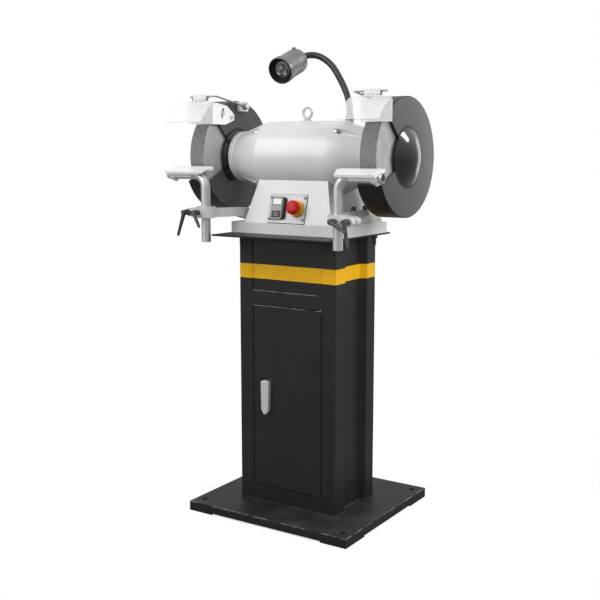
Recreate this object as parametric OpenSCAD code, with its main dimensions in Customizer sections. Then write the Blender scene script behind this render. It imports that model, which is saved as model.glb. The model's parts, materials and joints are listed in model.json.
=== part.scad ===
// Double-wheel pedestal grinder on a cabinet stand.
// Origin: centre of the base plate on the floor. +X along the spindle to the right, +Y back, +Z up.

/* [Base plate] */
// Width of the folded base plate
base_w = 530; // [500:1:620]
// Depth of the base plate
base_d = 476; // [450:1:560]
// Height of the base plate over the floor
base_h = 28; // [22:1:40]
// Sheet thickness of the base plate
base_t = 4; // [3:0.5:6]
// Height of the notches between the corner feet
notch_h = 4; // [2:0.5:10]
// Length of a corner foot along the width
foot_w = 82; // [60:1:110]
// Length of a corner foot along the depth
foot_d = 100; // [60:1:120]
// Spacing of the floor anchors along the width
anchor_w = 470; // [440:1:480]
// Spacing of the floor anchors along the depth
anchor_d = 404; // [380:1:420]
// Diameter of a floor anchor hole
anchor_bore = 14; // [10:0.5:18]

/* [Cabinet] */
// Width of the cabinet column
col_w = 320; // [310:1:340]
// Depth of the cabinet column
col_d = 218; // [212:1:226]
// Height of the stand's top, over the floor
stand_h = 811; // [780:1:860]
// Sheet thickness of the column
col_t = 2.5; // [1.5:0.5:3]
// Depth of the long recess in each side
flute_d = 17; // [8:1:22]
// Width of the front flange beside the recess
flute_front = 50; // [40:1:60]
// Width of the rear flange beside the recess
flute_rear = 46; // [40:1:60]
// Width of the slanted wall of the recess
flute_slope = 12; // [6:1:16]
// Offset of the column's middle behind the origin
col_y = -12.5; // [-20:0.5:0]
// Width of the door opening
door_w = 232; // [200:1:244]
// Height of the door opening
door_h = 535; // [480:1:550]
// Height of the door opening's sill over the floor
door_z = 75; // [60:1:90]
// Gap round the door
door_gap = 2.5; // [2:0.25:3]
// Depth of the door's folded edges
door_fold = 12; // [10:1:18]
// Sheet thickness of the door
door_t = 2; // [1:0.25:2.5]
// Diameter of the door's hinge pins
hinge_pin = 4; // [3:0.25:4.5]
// Height of the closed panel above the door
panel_h = 142; // [110:1:145]
// Sill height of the closed panel over the floor
panel_z = 650; // [645:1:655]

/* [Door handle] */
// Height of the door handle's shaft over the floor
handle_z = 374; // [320:1:420]
// Sideways place of the handle's shaft
handle_x = -68; // [-76:0.5:-62]
// Width of the handle
handle_w = 27; // [22:1:32]
// Length of the handle from its shaft to its tip
handle_len = 80; // [60:1:90]
// Thickness of the handle
handle_t = 13; // [9:1:16]

/* [Top plate] */
// Width of the top plate
top_w = 383; // [380:1:400]
// Depth of the top plate
top_d = 338; // [330:1:345]
// Thickness of the top plate
top_t = 5; // [4:0.5:8]
// Offset of the top plate's middle from the origin
top_y = -43; // [-45:0.5:-38]
// Place of the front machine bolts along the depth
bolt_front = -94; // [-100:1:-84]
// Place of the rear machine bolts along the depth
bolt_rear = 64; // [54:1:80]

/* [Cast base] */
// Width of the cast plinth
plinth_w = 378; // [374:1:380]
// Depth of the cast plinth
plinth_d = 231; // [225:1:240]
// Height of the cast plinth
plinth_h = 30.6; // [26:0.2:36]
// Distance from a machine bolt's axis to the plinth's side
bolt_in = 14; // [12.5:0.5:15.5]
// Wall thickness of the casting
cast_t = 9; // [7:0.5:11]
// Width of the pedestal where it meets the plinth
ped_w = 286; // [276:1:290]
// Width of the pedestal under the motor
ped_top_w = 224; // [210:1:240]
// Height of the pedestal's front edge under the motor, over the plinth
ped_h = 123.4; // [118:0.2:126]
// Lean of the pedestal's front face, as the setback of its top edge
ped_lean = 32.5; // [26:0.5:36]
// Setback of the pedestal's rear face at its top edge
ped_back = 44; // [36:1:50]

/* [Motor] */
// Height of the spindle over the floor
spindle_z = 1024; // [1022:1:1030]
// Place of the spindle's axis along the depth
spindle_y = -14; // [-16:0.5:-12]
// Radius of the motor housing
motor_r = 98.6; // [96:0.2:100]
// Length of the motor housing's round barrel
motor_len = 224; // [216:2:232]
// Wall thickness of the motor housing
motor_t = 14; // [12:0.5:16]
// Length over both end bells
bells_len = 459; // [456:0.5:461]
// Radius at the small end of an end bell's cone
bell_r = 70; // [68:0.5:74]
// Diameter of the spindle in its bearings
spindle_d = 30; // [26:0.5:32]
// Outer diameter of a bearing
bearing_d = 62; // [56:0.5:66]
// Width of a bearing
bearing_w = 16; // [12:0.5:18]

/* [Wheels] */
// Diameter of a grinding wheel
wheel_d = 300; // [280:1:304]
// Width of a grinding wheel
wheel_w = 50; // [40:1:51]
// Distance from the machine's middle to a wheel's inner face
wheel_x = 252.5; // [252:0.5:254]
// Diameter of the spindle inside a wheel
arbor_d = 25; // [20:0.5:27]
// Diameter of a wheel flange
flange_d = 130; // [110:1:136]

/* [Wheel guards] */
// Radius of a wheel guard
guard_r = 160; // [158:1:164]
// Inner width of a wheel guard
guard_w = 71; // [70:0.5:74]
// Distance from the machine's middle to a guard's inner wall
guard_x = 241.8; // [241.5:0.1:242]
// Sheet thickness of a wheel guard
guard_t = 2.5; // [2:0.25:3]
// Radius of the round dome in a guard's walls
dome_r = 73; // [66:1:76]
// Height of the outer dome
dome_h = 25; // [20:1:30]
// Upper limit of the guard's front opening, in degrees from the rear
mouth_top = 135; // [128:1:140]
// Lower limit of the guard's front opening, in degrees from the rear
mouth_low = 206; // [200:1:210]

/* [Spark bracket and eye shield] */
// Sheet thickness of the spark bracket
spark_t = 2; // [1:0.25:2]
// Length of the spark bracket's front plate
spark_w = 91; // [80:1:96]
// Diameter of the eye shield's rod
rod_d = 5; // [4:0.25:7]
// Height of the eye shield's cross bar over the floor
bar_z = 1192; // [1191:1:1200]
// Place of the cross bar along the depth
bar_y = -139; // [-142:0.5:-138]
// Length of the clear shield along the spindle
shield_w = 120; // [100:1:124]
// Thickness of the clear shield
shield_t = 3; // [2:0.5:4]
// Reach of the clear shield from its clip
shield_reach = 96; // [80:1:104]
// Width of the shield's clip
clip_w = 50; // [40:1:56]

/* [Tool rests] */
// Diameter of a tool rest's tube
post_d = 26; // [22:0.5:28]
// Wall thickness of the tube
post_t = 3; // [2:0.5:4]
// Distance from the machine's middle to a post's axis
post_x = 215; // [213:1:220]
// Place of a post along the depth
post_y = -205; // [-212:1:-203]
// Height of a post's lower end over the floor
post_bottom = 788; // [770:1:800]
// Height of the tube's level arm over the floor
rest_z = 975; // [970:1:980]
// Bend radius of the tube's centre line
bend_r = 35; // [30:1:38]
// Distance from the machine's middle to the tube's outer end
rest_end = 345; // [340:1:352]
// Tilt of the rest plate at rest
rest_tilt = 14.5; // [10:0.5:16]
// Depth of the rest plate
plate_d = 58; // [50:1:60]
// Thickness of the rest plate
plate_t = 7; // [5:0.5:8]
// Height of the rest plate's top over the tube's axis
plate_h = 15.4; // [15:0.1:17]
// Height of the clamp boss
boss_h = 31; // [26:1:36]
// Height of the left clamp boss's lower face over the floor
boss_z = 856; // [852:1:860]
// How much lower the right clamp boss sits
boss_drop = 7; // [0:0.5:8]
// Radius of the clamp boss
boss_r = 27; // [22:0.5:30]
// Distance from the post's axis to the clamp screw
lug_x = 43; // [42:0.5:48]
// Running clearance of a sliding or turning fit
fit = 0.05; // [0.02:0.01:0.1]
// Gap that parts neighbouring bodies
gap = 0.3; // [0.2:0.05:0.5]

/* [Switches] */
// Width of the switch plate
switch_w = 121; // [118:1:126]
// Height of the switch plate along the leaning face
switch_h = 80; // [76:1:84]
// Sideways place of the emergency stop
estop_x = 28.5; // [26:0.5:30]
// Height of the emergency stop up the leaning face
estop_s = 42.5; // [40:0.5:45]
// Diameter of the emergency stop's mushroom
estop_d = 39; // [34:0.5:42]
// Diameter of the emergency stop's ring
ring_d = 45; // [43:0.5:46]

/* [Lamp] */
// Diameter of the flexible neck
neck_d = 18; // [14:0.5:20]
// Diameter of the lamp's barrel
lamp_d = 70; // [60:1:76]
// Length of the lamp's barrel
lamp_len = 112; // [100:1:124]
// Number of grooves round the barrel
lamp_grooves = 7; // [5:1:9]
// Height of the eye bolt over the motor
eye_h = 42; // [36:1:48]

/* [Hidden] */
$fn = 64;
left = -1;
right = 1;
sides = [left, right];

// Heights and faces that several pieces share
col_front = col_y - col_d / 2;
col_back = col_y + col_d / 2;
col_top = stand_h - top_t;
plinth_top = stand_h + plinth_h;
plinth_front = -121.6;
plinth_back = plinth_front + plinth_d;
ped_front = plinth_front + 1;
ped_rear = plinth_back - 5;
ped_top = plinth_top + ped_h;
lean = atan(ped_lean / ped_h);
eps = 0.01;

// Door: its half width, edges and hinge axis
door_half = door_w / 2 - door_gap;
door_foot = door_z + door_gap;
door_head = door_z + door_h - door_gap;
hinge_x = door_half - hinge_pin / 2 - 2.5;
hinge_y = col_front + hinge_pin / 2 + 2.5;
frame_fold = 13.3;
cam_y = col_front + frame_fold + gap;
cam_t = 3;
shaft_r = 5;

// Machine bolts that hang below the top plate
bolt_r = 5;
bolt_x = plinth_w / 2 - bolt_in;
bolt_nut_h = 8;
bolt_nut_r = 9.5;
bolt_hang = 28;
stud_depth = 22;

// Motor and spindle
motor_half = motor_len / 2;
bell_end = bells_len / 2;
cone_x = 208;
stator_half = 62;
bearing_x = 200;
pocket_r = 9.5;
pocket_at = motor_r - 8;
pocket_floor = motor_half + 14;
scoop_end = cone_x - 8;
scoop_r = 4;
scoop_at = bell_r + 4;
bell_head_r = 6.5;
shoulder_x = guard_x + guard_t + gap;
rotor_r = 52;
air_gap = 0.6;
eye_shank = 5;
pocket_angles = [48, 132, 228, 312];
pocket_screw_r = 4;

// Outline of an end bell's outside, as [r, x]
bell_outside = [
    [motor_r, motor_half], [motor_r, motor_half + 5], [motor_r - 5.6, motor_half + 28],
    [bell_r, cone_x], [bell_r, bell_end - 7], [bell_r - 2, bell_end - 3], [bell_r - 7, bell_end]
];

// Gland for the supply cord, at the pedestal's rear
gland_x = 90;
gland_z = plinth_top + 22;
gland_r = 8;
gland_lean = atan(ped_back / ped_h);

// Guards
rim_in = guard_r - guard_t + 0.5;
cover_x = guard_x + guard_w;
rim_end = cover_x - gap;
inner_dome_h = 12;
dome_flat = 55;
throat_r = 22;
guard_screw_angles = [45, 135, 225, 315];
guard_screw_at = 44;
guard_screw_r = 3;

// Spark bracket outline, on the plane across the spindle, as [y, z]
spark_pivot = [-50, 1136];
spark_slot = [-92, 1147];
spark_face = -137;
spark_low = 1115;
spark_high = 1172;
spark_x = guard_x - gap;
spark_outline = [
    [spark_face, spark_high], [spark_face + 19, spark_high + 3],
    [spark_pivot[0] - 21, spark_high - 3], spark_pivot + [14, 9], spark_pivot + [14, -8],
    [spark_pivot[0] - 28, spark_low], [spark_face, spark_low]
];

// Eye shield
block_y = 0;
block_z = 1168;
block_w = 38;
block_h = 28;
block_t = 13;
hub_r = 9;
hub_w = 8;
rod_x = guard_x - gap - block_t - gap - hub_w / 2;
pivot_r = 4;
clip_x = 278;
shield_drop = 38.5;
shield_bow = 150;
shield_turn = asin(shield_reach / 2 / shield_bow);

// Tool rest
post_r = post_d / 2;
lug_r = 11.5;
split = 5;
clamp_r = 5;
press_x = post_x + 6;
foot_in = 143.5;
foot_out = 182;
foot_front = -50;
foot_back = 92;
foot_high = 35;
foot_low = 9;
arm_screw_x = 157;
arm_screw_y = [-24, 40];
arm_screw_r = 4;
lever_r = 8;

// Switch plate
plate_x = -3.5;
switch_foot = 1.5;
switch_t = 3;
start_at = [-34, 60];
stop_at = [-34, 25];
key_w = 27;
key_h = 17;
hatch_edge = 10;
switch_block = [key_w + 9, 38, switch_h - 2 * hatch_edge - 2];
estop_block = 30;
panel_screw_at = [[51, 73], [52, 12], [-58, 73], [-58, 12]];
panel_screw_r = 2;
estop_neck = 11;
estop_stem = 7;

// Lamp: the neck's route, chosen by hand, from the motor to the barrel
neck_route = [
    [128, 0, 1128], [127, 2, 1154], [115, 8, 1192], [88, 16, 1236], [55, 25, 1275],
    [19, 29, 1299], [-6, 22, 1306], [-21.6, 1.9, 1302.2], [-21, -20, 1293.8]
];
neck_steps = 5;
neck_sides = 14;
lamp_dip = 20.9;
lamp_turn = 1.6;
lamp_boss_z = spindle_z + motor_r + 0.5;
lamp_boss_r = 12;
lamp_boss_h = 12;
lamp_switch_at = 22;
lamp_switch_r = 5;

// Places its children on the right, or mirrored on the left
module on_side(side) {
    if (side == left) mirror([1, 0, 0]) children();
    else children();
}

// Extrudes a [y, z] outline along X from x0
module across(x0, length) {
    translate([x0, 0, 0]) rotate([90, 0, 90]) linear_extrude(length) children();
}

// Extrudes an [x, z] outline backwards from y0
module backwards(y0, length) {
    translate([0, y0 + length, 0]) rotate([90, 0, 0]) linear_extrude(length) children();
}

// Rod along X from x0, round the axis [y, z]
module rod_x(x0, length, r, at = [spindle_y, spindle_z]) {
    translate([x0, at[0], at[1]]) rotate([0, 90, 0]) cylinder(h = length, r = r);
}

// Revolves an [r, x] outline round the spindle's axis
module revolve_x(points) {
    translate([0, spindle_y, spindle_z]) rotate([0, 90, 0]) rotate_extrude($fn = 96) polygon(points);
}

// Places children on the pedestal's leaning face: X across, Z up the slope, -Y out of it
module on_face() {
    translate([0, ped_front, plinth_top]) rotate([-lean, 0, 0]) children();
}

// Rod out of the leaning face from depth d0 to d1
module face_rod(at, d0, d1, r) {
    translate([at[0], -d0, at[1]]) rotate([90, 0, 0]) cylinder(h = d1 - d0, r = r);
}

// Six-sided nut along Z
module hex_nut(r, h) {
    cylinder(h = h, r = r, $fn = 6);
}

// Point on a circle
function polar(r, a) = [r * cos(a), r * sin(a)];

// Stand

// Folded tray with notched skirts and a tube under each anchor hole
module base_plate() {
    color([0.10, 0.10, 0.11])
    difference() {
        union() {
            difference() {
                translate([-base_w / 2, -base_d / 2, 0]) cube([base_w, base_d, base_h]);
                translate([base_t - base_w / 2, base_t - base_d / 2, -eps])
                    cube([base_w - 2 * base_t, base_d - 2 * base_t, base_h - base_t + eps]);
                translate([foot_w - base_w / 2, -base_d, -eps])
                    cube([base_w - 2 * foot_w, 2 * base_d, notch_h + eps]);
                translate([-base_w, foot_d - base_d / 2, -eps])
                    cube([2 * base_w, base_d - 2 * foot_d, notch_h + eps]);
            }
            for (sx = sides, sy = sides)
                translate([sx * anchor_w / 2, sy * anchor_d / 2, 0])
                    cylinder(h = base_h - base_t / 2, r = anchor_bore / 2 + base_t);
        }
        for (sx = sides, sy = sides)
            translate([sx * anchor_w / 2, sy * anchor_d / 2, -1])
                cylinder(h = base_h + 2, r = anchor_bore / 2);
    }
}

// Plan of the column, drawn in by inset from its outer face
module column_plan(inset) {
    w = col_w / 2 - inset;
    f = w - flute_d;
    y0 = col_front + inset;
    y1 = col_front + flute_front - inset;
    y2 = y1 + flute_slope;
    y4 = col_back - flute_rear + inset;
    y3 = y4 - flute_slope;
    y5 = col_back - inset;
    half = [[w, y0], [w, y1], [f, y2], [f, y3], [w, y4], [w, y5]];
    polygon(concat(half, [for (i = [5:-1:0]) [-half[i][0], half[i][1]]]));
}

// Window with folded edges in the column's front
module window_frame(w, z, h, fold) {
    translate([-w / 2 - col_t, col_front, z - col_t])
        cube([w + 2 * col_t, fold, h + 2 * col_t]);
}

// Fluted sheet column with a door opening and a panel opening
module column() {
    color([0.13, 0.13, 0.14])
    difference() {
        union() {
            translate([0, 0, base_h]) linear_extrude(col_top - base_h) difference() {
                column_plan(0);
                column_plan(col_t);
            }
            window_frame(door_w, door_z, door_h, frame_fold);
        }
        translate([-door_w / 2, col_front - 1, door_z]) cube([door_w, frame_fold + 2, door_h]);
        translate([-door_w / 2 - 1, col_front - 1, panel_z]) cube([door_w + 2, col_t + 2, panel_h]);
        translate([hinge_x, hinge_y, door_z - 10]) cylinder(h = door_h + 20, r = hinge_pin / 2 + fit);
    }
}

// Plate welded in behind the column's upper opening
module upper_panel() {
    edge = 8;
    color([0.13, 0.13, 0.14])
    translate([-door_w / 2 - edge, col_front + col_t, panel_z - edge])
        cube([door_w + 2 * edge, col_t, panel_h + edge * 1.5]);
}

// Folded door, an open tray at its back
module door() {
    color([0.12, 0.12, 0.13])
    difference() {
        translate([-door_half, col_front, door_foot])
            cube([2 * door_half, door_fold, door_head - door_foot]);
        translate([door_t - door_half, col_front + door_t, door_foot + door_t])
            cube([2 * (door_half - door_t), door_fold, door_head - door_foot - 2 * door_t]);
        translate([hinge_x, hinge_y, door_foot - 1])
            cylinder(h = door_head - door_foot + 2, r = hinge_pin / 2 + fit);
        translate([handle_x, col_front - 1, handle_z]) rotate([-90, 0, 0])
            cylinder(h = door_fold, r = shaft_r + fit);
    }
}

// Two pins through the door frame's folds and the door's folds
module hinge_pins() {
    outside = 3;
    inside = door_gap + col_t + door_t + 6;
    color([0.62, 0.63, 0.65])
    for (end = [0, 1])
        translate([hinge_x, hinge_y, end == 0 ? door_z - col_t : door_z + door_h + col_t])
            mirror([0, 0, end]) translate([0, 0, -outside]) cylinder(h = outside + inside, r = hinge_pin / 2);
}

// Tapered paddle handle with a rounded top, a pointed foot and its shaft
module door_handle() {
    half = handle_w / 2;
    taper = 1.5;
    foot = 4;
    head = 18.5;
    color([0.78, 0.79, 0.80]) {
        translate([handle_x, 0, handle_z]) backwards(col_front - gap - handle_t, handle_t)
            polygon(concat(
                [for (a = [0:15:180]) [half * cos(a), head - 6 + 6 * sin(a)]],
                [[-half + taper, -handle_len + half], [-foot, -handle_len],
                 [foot, -handle_len], [half - taper, -handle_len + half]]
            ));
        translate([handle_x, col_front - gap - 1, handle_z]) rotate([-90, 0, 0])
            cylinder(h = cam_y - col_front + cam_t + gap + 7, r = shaft_r);
    }
}

// Flat cam on the handle's shaft: upright when open, behind the door frame when turned
module latch_cam() {
    reach = door_w / 2 + col_t + 4 + handle_x;
    color([0.66, 0.67, 0.69])
    translate([handle_x, 0, handle_z]) backwards(cam_y, cam_t) difference() {
        union() {
            circle(r = shaft_r + 5);
            translate([-8, 0]) square([16, reach]);
        }
        circle(r = shaft_r + fit);
    }
}

// Flat plate welded on the column, with four bolt holes
module top_plate() {
    color([0.15, 0.15, 0.16])
    difference() {
        translate([-top_w / 2, top_y - top_d / 2, col_top]) cube([top_w, top_d, top_t]);
        at_bolts() cylinder(h = 3 * top_t, r = bolt_r + 0.5, center = true);
    }
}

// Places its children at the four machine bolts, on the top plate's lower face
module at_bolts() {
    for (sx = sides, y = [bolt_front, bolt_rear]) translate([sx * bolt_x, y, col_top]) children();
}

// Studs that hang from the plinth's bosses through the top plate, with nuts below it
module stand_bolts() {
    color([0.20, 0.20, 0.21])
    at_bolts() {
        translate([0, 0, -bolt_hang]) cylinder(h = bolt_hang + top_t + stud_depth - gap, r = bolt_r);
        translate([0, 0, -bolt_nut_h - gap]) hex_nut(bolt_nut_r, bolt_nut_h);
    }
}

// Casting

// Leaning block: a rectangle at the plinth that narrows to a rectangle under the motor
module pedestal_block(inset, z0, z1) {
    low_w = ped_w / 2 - inset;
    high_w = ped_top_w / 2 - inset;
    y0 = ped_front + inset;
    y1 = ped_front + ped_lean + inset;
    y2 = ped_rear - ped_back - inset;
    y3 = ped_rear - inset;
    polyhedron(
        points = [
            [-low_w, y0, z0], [low_w, y0, z0], [low_w, y3, z0], [-low_w, y3, z0],
            [-high_w, y1, z1], [high_w, y1, z1], [high_w, y2, z1], [-high_w, y2, z1]
        ],
        faces = [[0, 1, 2, 3], [4, 7, 6, 5], [0, 4, 5, 1], [1, 5, 6, 2], [2, 6, 7, 3], [3, 7, 4, 0]]
    );
}

// Hollow plinth and pedestal with a cradle for the motor
module cast_base() {
    boss = 15;
    color([0.88, 0.88, 0.87])
    difference() {
        union() {
            difference() {
                translate([-plinth_w / 2, plinth_front, stand_h]) cube([plinth_w, plinth_d, plinth_h]);
                translate([cast_t - plinth_w / 2, plinth_front + cast_t, stand_h - eps])
                    cube([plinth_w - 2 * cast_t, plinth_d - 2 * cast_t, plinth_h - cast_t]);
            }
            for (sx = sides, y = [bolt_front, bolt_rear])
                translate([sx * bolt_x, y, stand_h]) cylinder(h = plinth_h - 1, r = 13);
            for (sx = sides, y = arm_screw_y)
                translate([sx * arm_screw_x, y, stand_h]) cylinder(h = plinth_h - 1, r = boss);
            pedestal_block(0, plinth_top - eps, ped_top);
        }
        difference() {
            pedestal_block(cast_t, stand_h - 1, ped_top + 1);
            rod_x(-ped_w / 2, ped_w, motor_r + cast_t);
        }
        rod_x(-motor_half - 40, motor_len + 80, motor_r + gap);
        at_bolts() cylinder(h = top_t + stud_depth, r = bolt_r + fit);
        for (sx = sides, y = arm_screw_y)
            translate([sx * arm_screw_x, y, stand_h - 1]) cylinder(h = 60, r = arm_screw_r + fit);
        on_face() translate([plate_x - switch_w / 2 + hatch_edge, -20, switch_foot + hatch_edge])
            cube([switch_w - 2 * hatch_edge, 40, switch_h - 2 * hatch_edge]);
        on_face() for (at = panel_screw_at) face_rod(at, -12, 5, panel_screw_r + fit);
        translate([gland_x, ped_rear - 40, gland_z]) rotate([-90, 0, 0]) cylinder(h = 80, r = gland_r + fit);
    }
}

// Hollow gland for the supply cord, with a nut and a cap
module cable_gland() {
    seat = ped_rear - (gland_z - plinth_top) * tan(gland_lean) + 4.5;
    color([0.08, 0.08, 0.08])
    translate([gland_x, seat, gland_z]) rotate([-90, 0, 0]) difference() {
        union() {
            translate([0, 0, -24]) cylinder(h = 25, r = gland_r);
            hex_nut(12, 8);
            translate([0, 0, 8 - eps]) cylinder(h = 9, r1 = 10, r2 = 7);
        }
        translate([0, 0, -30]) cylinder(h = 60, r = 4);
    }
}

// Motor

// Round barrel with a boss for the eye bolt and one for the lamp
module motor_housing() {
    color([0.90, 0.90, 0.90])
    difference() {
        union() {
            rod_x(-motor_half, motor_len, motor_r);
            translate([0, spindle_y, spindle_z]) cylinder(h = motor_r + 1.5, r = 15);
        }
        rod_x(-motor_half - 1, motor_len + 2, motor_r - motor_t);
        translate([0, spindle_y, spindle_z]) cylinder(h = motor_r + 5, r = eye_shank + fit);
        for (side = sides, a = pocket_angles) rod_x(
            side == left ? -motor_half - 1 : motor_half - 25, 26, pocket_screw_r + fit, pocket_spot(a)
        );
    }
}

// End bell: hollow cone with a bearing seat and four screw pockets
module end_bell(side) {
    seat_r = bearing_d / 2 + fit;
    throat = spindle_d / 2 + 4;
    inner = motor_r - motor_t;
    color([0.90, 0.90, 0.90])
    on_side(side) difference() {
        union() {
            revolve_x(concat(bell_outside, [
                [throat, bell_end], [throat, bearing_x + bearing_w + gap],
                [seat_r, bearing_x + bearing_w + gap], [seat_r, bearing_x], [seat_r + 7, bearing_x],
                [seat_r + 7, bearing_x + 10], [bell_r - 13, bearing_x + 10], [bell_r - 8, bearing_x],
                [inner, motor_half + 7], [inner, motor_half]
            ]));
            intersection() {
                revolve_x(concat(bell_outside, [[50, bell_end], [50, motor_half]]));
                for (a = pocket_angles) rod_x(motor_half, 60, pocket_r + 3.5, pocket_spot(a));
            }
            if (side == right) translate([neck_route[0][0], neck_route[0][1], lamp_boss_z - lamp_boss_h])
                cylinder(h = lamp_boss_h, r = lamp_boss_r);
        }
        for (a = pocket_angles) {
            rod_x(pocket_floor, 100, pocket_r, pocket_spot(a));
            hull() {
                rod_x(pocket_floor + eps, 20, pocket_r, pocket_spot(a));
                rod_x(scoop_end - 1, 1, scoop_r, [spindle_y, spindle_z] + polar(scoop_at, a));
            }
            rod_x(motor_half - 1, 30, pocket_screw_r + fit, pocket_spot(a));
        }
        for (a = guard_screw_angles)
            rod_x(bell_end - 12, 20, guard_screw_r + fit, guard_screw_spot(a));
    }
}

function pocket_spot(a) = [spindle_y + pocket_at * cos(a), spindle_z + pocket_at * sin(a)];
function guard_screw_spot(a) = [spindle_y + guard_screw_at * cos(a), spindle_z + guard_screw_at * sin(a)];

// Socket screw along X with its head's seat at x0 and its shank towards the middle
module socket_screw_x(x0, at, r, head_r, head_h, length) {
    rod_x(x0 - length, length + eps, r, at);
    difference() {
        rod_x(x0, head_h, head_r, at);
        translate([x0 + head_h / 2, at[0], at[1]]) rotate([0, 90, 0])
            cylinder(h = head_h, r = head_r * 0.55, $fn = 6);
    }
}

// Four socket screws in each end bell's pockets
module bell_screws() {
    color([0.25, 0.25, 0.26])
    for (side = sides, a = pocket_angles)
        on_side(side) socket_screw_x(pocket_floor, pocket_spot(a), pocket_screw_r, bell_head_r, 8, 36);
}

// Slotted iron core with the windings' end turns
module stator() {
    color([0.55, 0.35, 0.18]) {
        difference() {
            rod_x(-stator_half, 2 * stator_half, motor_r - motor_t - fit);
            rod_x(-stator_half - 1, 2 * stator_half + 2, rotor_r + air_gap);
        }
        for (side = sides) on_side(side) revolve_x([
            [rotor_r + 4, stator_half - eps], [motor_r - motor_t - 5, stator_half - eps],
            [motor_r - motor_t - 7, stator_half + 22], [rotor_r + 10, stator_half + 26],
            [rotor_r + 4, stator_half + 18]
        ]);
    }
}

// One ring in each end bell, grooved between its races
module bearings() {
    bore = spindle_d / 2 + fit;
    outer = bearing_d / 2;
    color([0.60, 0.61, 0.63])
    for (side = sides) on_side(side) revolve_x([
        [bore, bearing_x], [bore + 5, bearing_x], [bore + 6, bearing_x + 2], [outer - 5, bearing_x + 2],
        [outer - 4, bearing_x], [outer, bearing_x], [outer, bearing_x + bearing_w],
        [outer - 4, bearing_x + bearing_w], [outer - 5, bearing_x + bearing_w - 2],
        [bore + 6, bearing_x + bearing_w - 2], [bore + 5, bearing_x + bearing_w],
        [bore, bearing_x + bearing_w]
    ]);
}

// Rotor core on the spindle, with its end rings
module rotor() {
    color([0.45, 0.46, 0.48])
    difference() {
        union() {
            rod_x(-stator_half, 2 * stator_half, rotor_r);
            rod_x(-stator_half - 12, 2 * stator_half + 24, rotor_r - 8);
        }
        rod_x(-stator_half - 20, 2 * stator_half + 40, spindle_d / 2 + 2 + fit);
    }
}

// Stepped spindle: core seat, bearing seats and an arbor at each end
module spindle() {
    core = spindle_d / 2 + 2;
    seat = spindle_d / 2;
    nut_end = wheel_x + wheel_w + 6.5 + 13;
    half = [
        [core, 0], [core, bearing_x - gap], [seat, bearing_x - gap], [seat, shoulder_x],
        [arbor_d / 2, shoulder_x], [arbor_d / 2, nut_end + 5], [arbor_d / 2 - 2, nut_end + 8],
        [0, nut_end + 8]
    ];
    color([0.68, 0.69, 0.71])
    revolve_x(concat([for (i = [7:-1:1]) [half[i][0], -half[i][1]]], [for (i = [1:7]) half[i]]));
}

// Wheels

// A pair of dished flanges on each wheel
module wheel_flanges() {
    bore = arbor_d / 2 + fit;
    rim = flange_d / 2;
    outer_t = 6.5;
    color([0.50, 0.51, 0.53])
    for (side = sides) on_side(side) {
        revolve_x([
            [bore, shoulder_x], [32, shoulder_x], [rim, shoulder_x + 3], [rim, wheel_x],
            [rim - 14, wheel_x], [rim - 14, wheel_x - 1.5], [bore, wheel_x - 1.5]
        ]);
        revolve_x([
            [bore, wheel_x + wheel_w + 1.5], [rim - 14, wheel_x + wheel_w + 1.5],
            [rim - 14, wheel_x + wheel_w], [rim, wheel_x + wheel_w],
            [rim, wheel_x + wheel_w + 3], [rim - 10, wheel_x + wheel_w + outer_t],
            [bore, wheel_x + wheel_w + outer_t]
        ]);
    }
}

// Plain grinding wheel with slightly eased edges
module wheel(side) {
    r = wheel_d / 2;
    ease = 1.5;
    color([0.55, 0.55, 0.54])
    on_side(side) revolve_x([
        [arbor_d / 2 + fit, wheel_x], [r - ease, wheel_x], [r, wheel_x + ease],
        [r, wheel_x + wheel_w - ease], [r - ease, wheel_x + wheel_w], [arbor_d / 2 + fit, wheel_x + wheel_w]
    ]);
}

// A hex nut outside each outer flange
module spindle_nuts() {
    nut_x = wheel_x + wheel_w + 6.5;
    color([0.60, 0.61, 0.63])
    for (side = sides) on_side(side) difference() {
        translate([nut_x, spindle_y, spindle_z]) rotate([0, 90, 0]) hex_nut(arbor_d / 2 + 9, 13);
        rod_x(nut_x - 1, 15, arbor_d / 2 + fit);
    }
}

// Guards

// Wedge that opens a guard's front, outside the dome
module mouth(x0, length) {
    far = guard_r * 1.6;
    middle = (mouth_top + mouth_low) / 2;
    translate([0, spindle_y, spindle_z]) across(x0, length) difference() {
        polygon([[0, 0], polar(far, mouth_top), polar(far, middle), polar(far, mouth_low)]);
        circle(r = dome_r + 2);
    }
}

// Inner wall, its dome towards the motor and the rim, one pressed shell
module guard(side) {
    t = guard_t;
    x0 = guard_x;
    color([0.20, 0.20, 0.21])
    on_side(side) difference() {
        revolve_x([
            [throat_r, x0 - inner_dome_h], [dome_flat, x0 - inner_dome_h],
            [dome_flat + 8, x0 - inner_dome_h * 0.75], [dome_r, x0], [guard_r - 2, x0],
            [guard_r, x0 + 2], [guard_r, rim_end], [rim_in, rim_end], [rim_in, x0 + t],
            [dome_r - 1, x0 + t], [dome_flat + 6, x0 + t - inner_dome_h * 0.75],
            [dome_flat - 1, x0 + t - inner_dome_h], [throat_r, x0 + t - inner_dome_h]
        ]);
        mouth(x0 - 1, guard_w + 20);
        for (a = guard_screw_angles)
            rod_x(x0 - 20, 40, guard_screw_r + fit, guard_screw_spot(a));
        for (at = [spark_pivot, spark_slot]) rod_x(x0 - 5, 20, 3 + fit, at);
        rod_x(x0 - 5, 20, pivot_r + fit, [block_y + 10, block_z]);
    }
}

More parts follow.
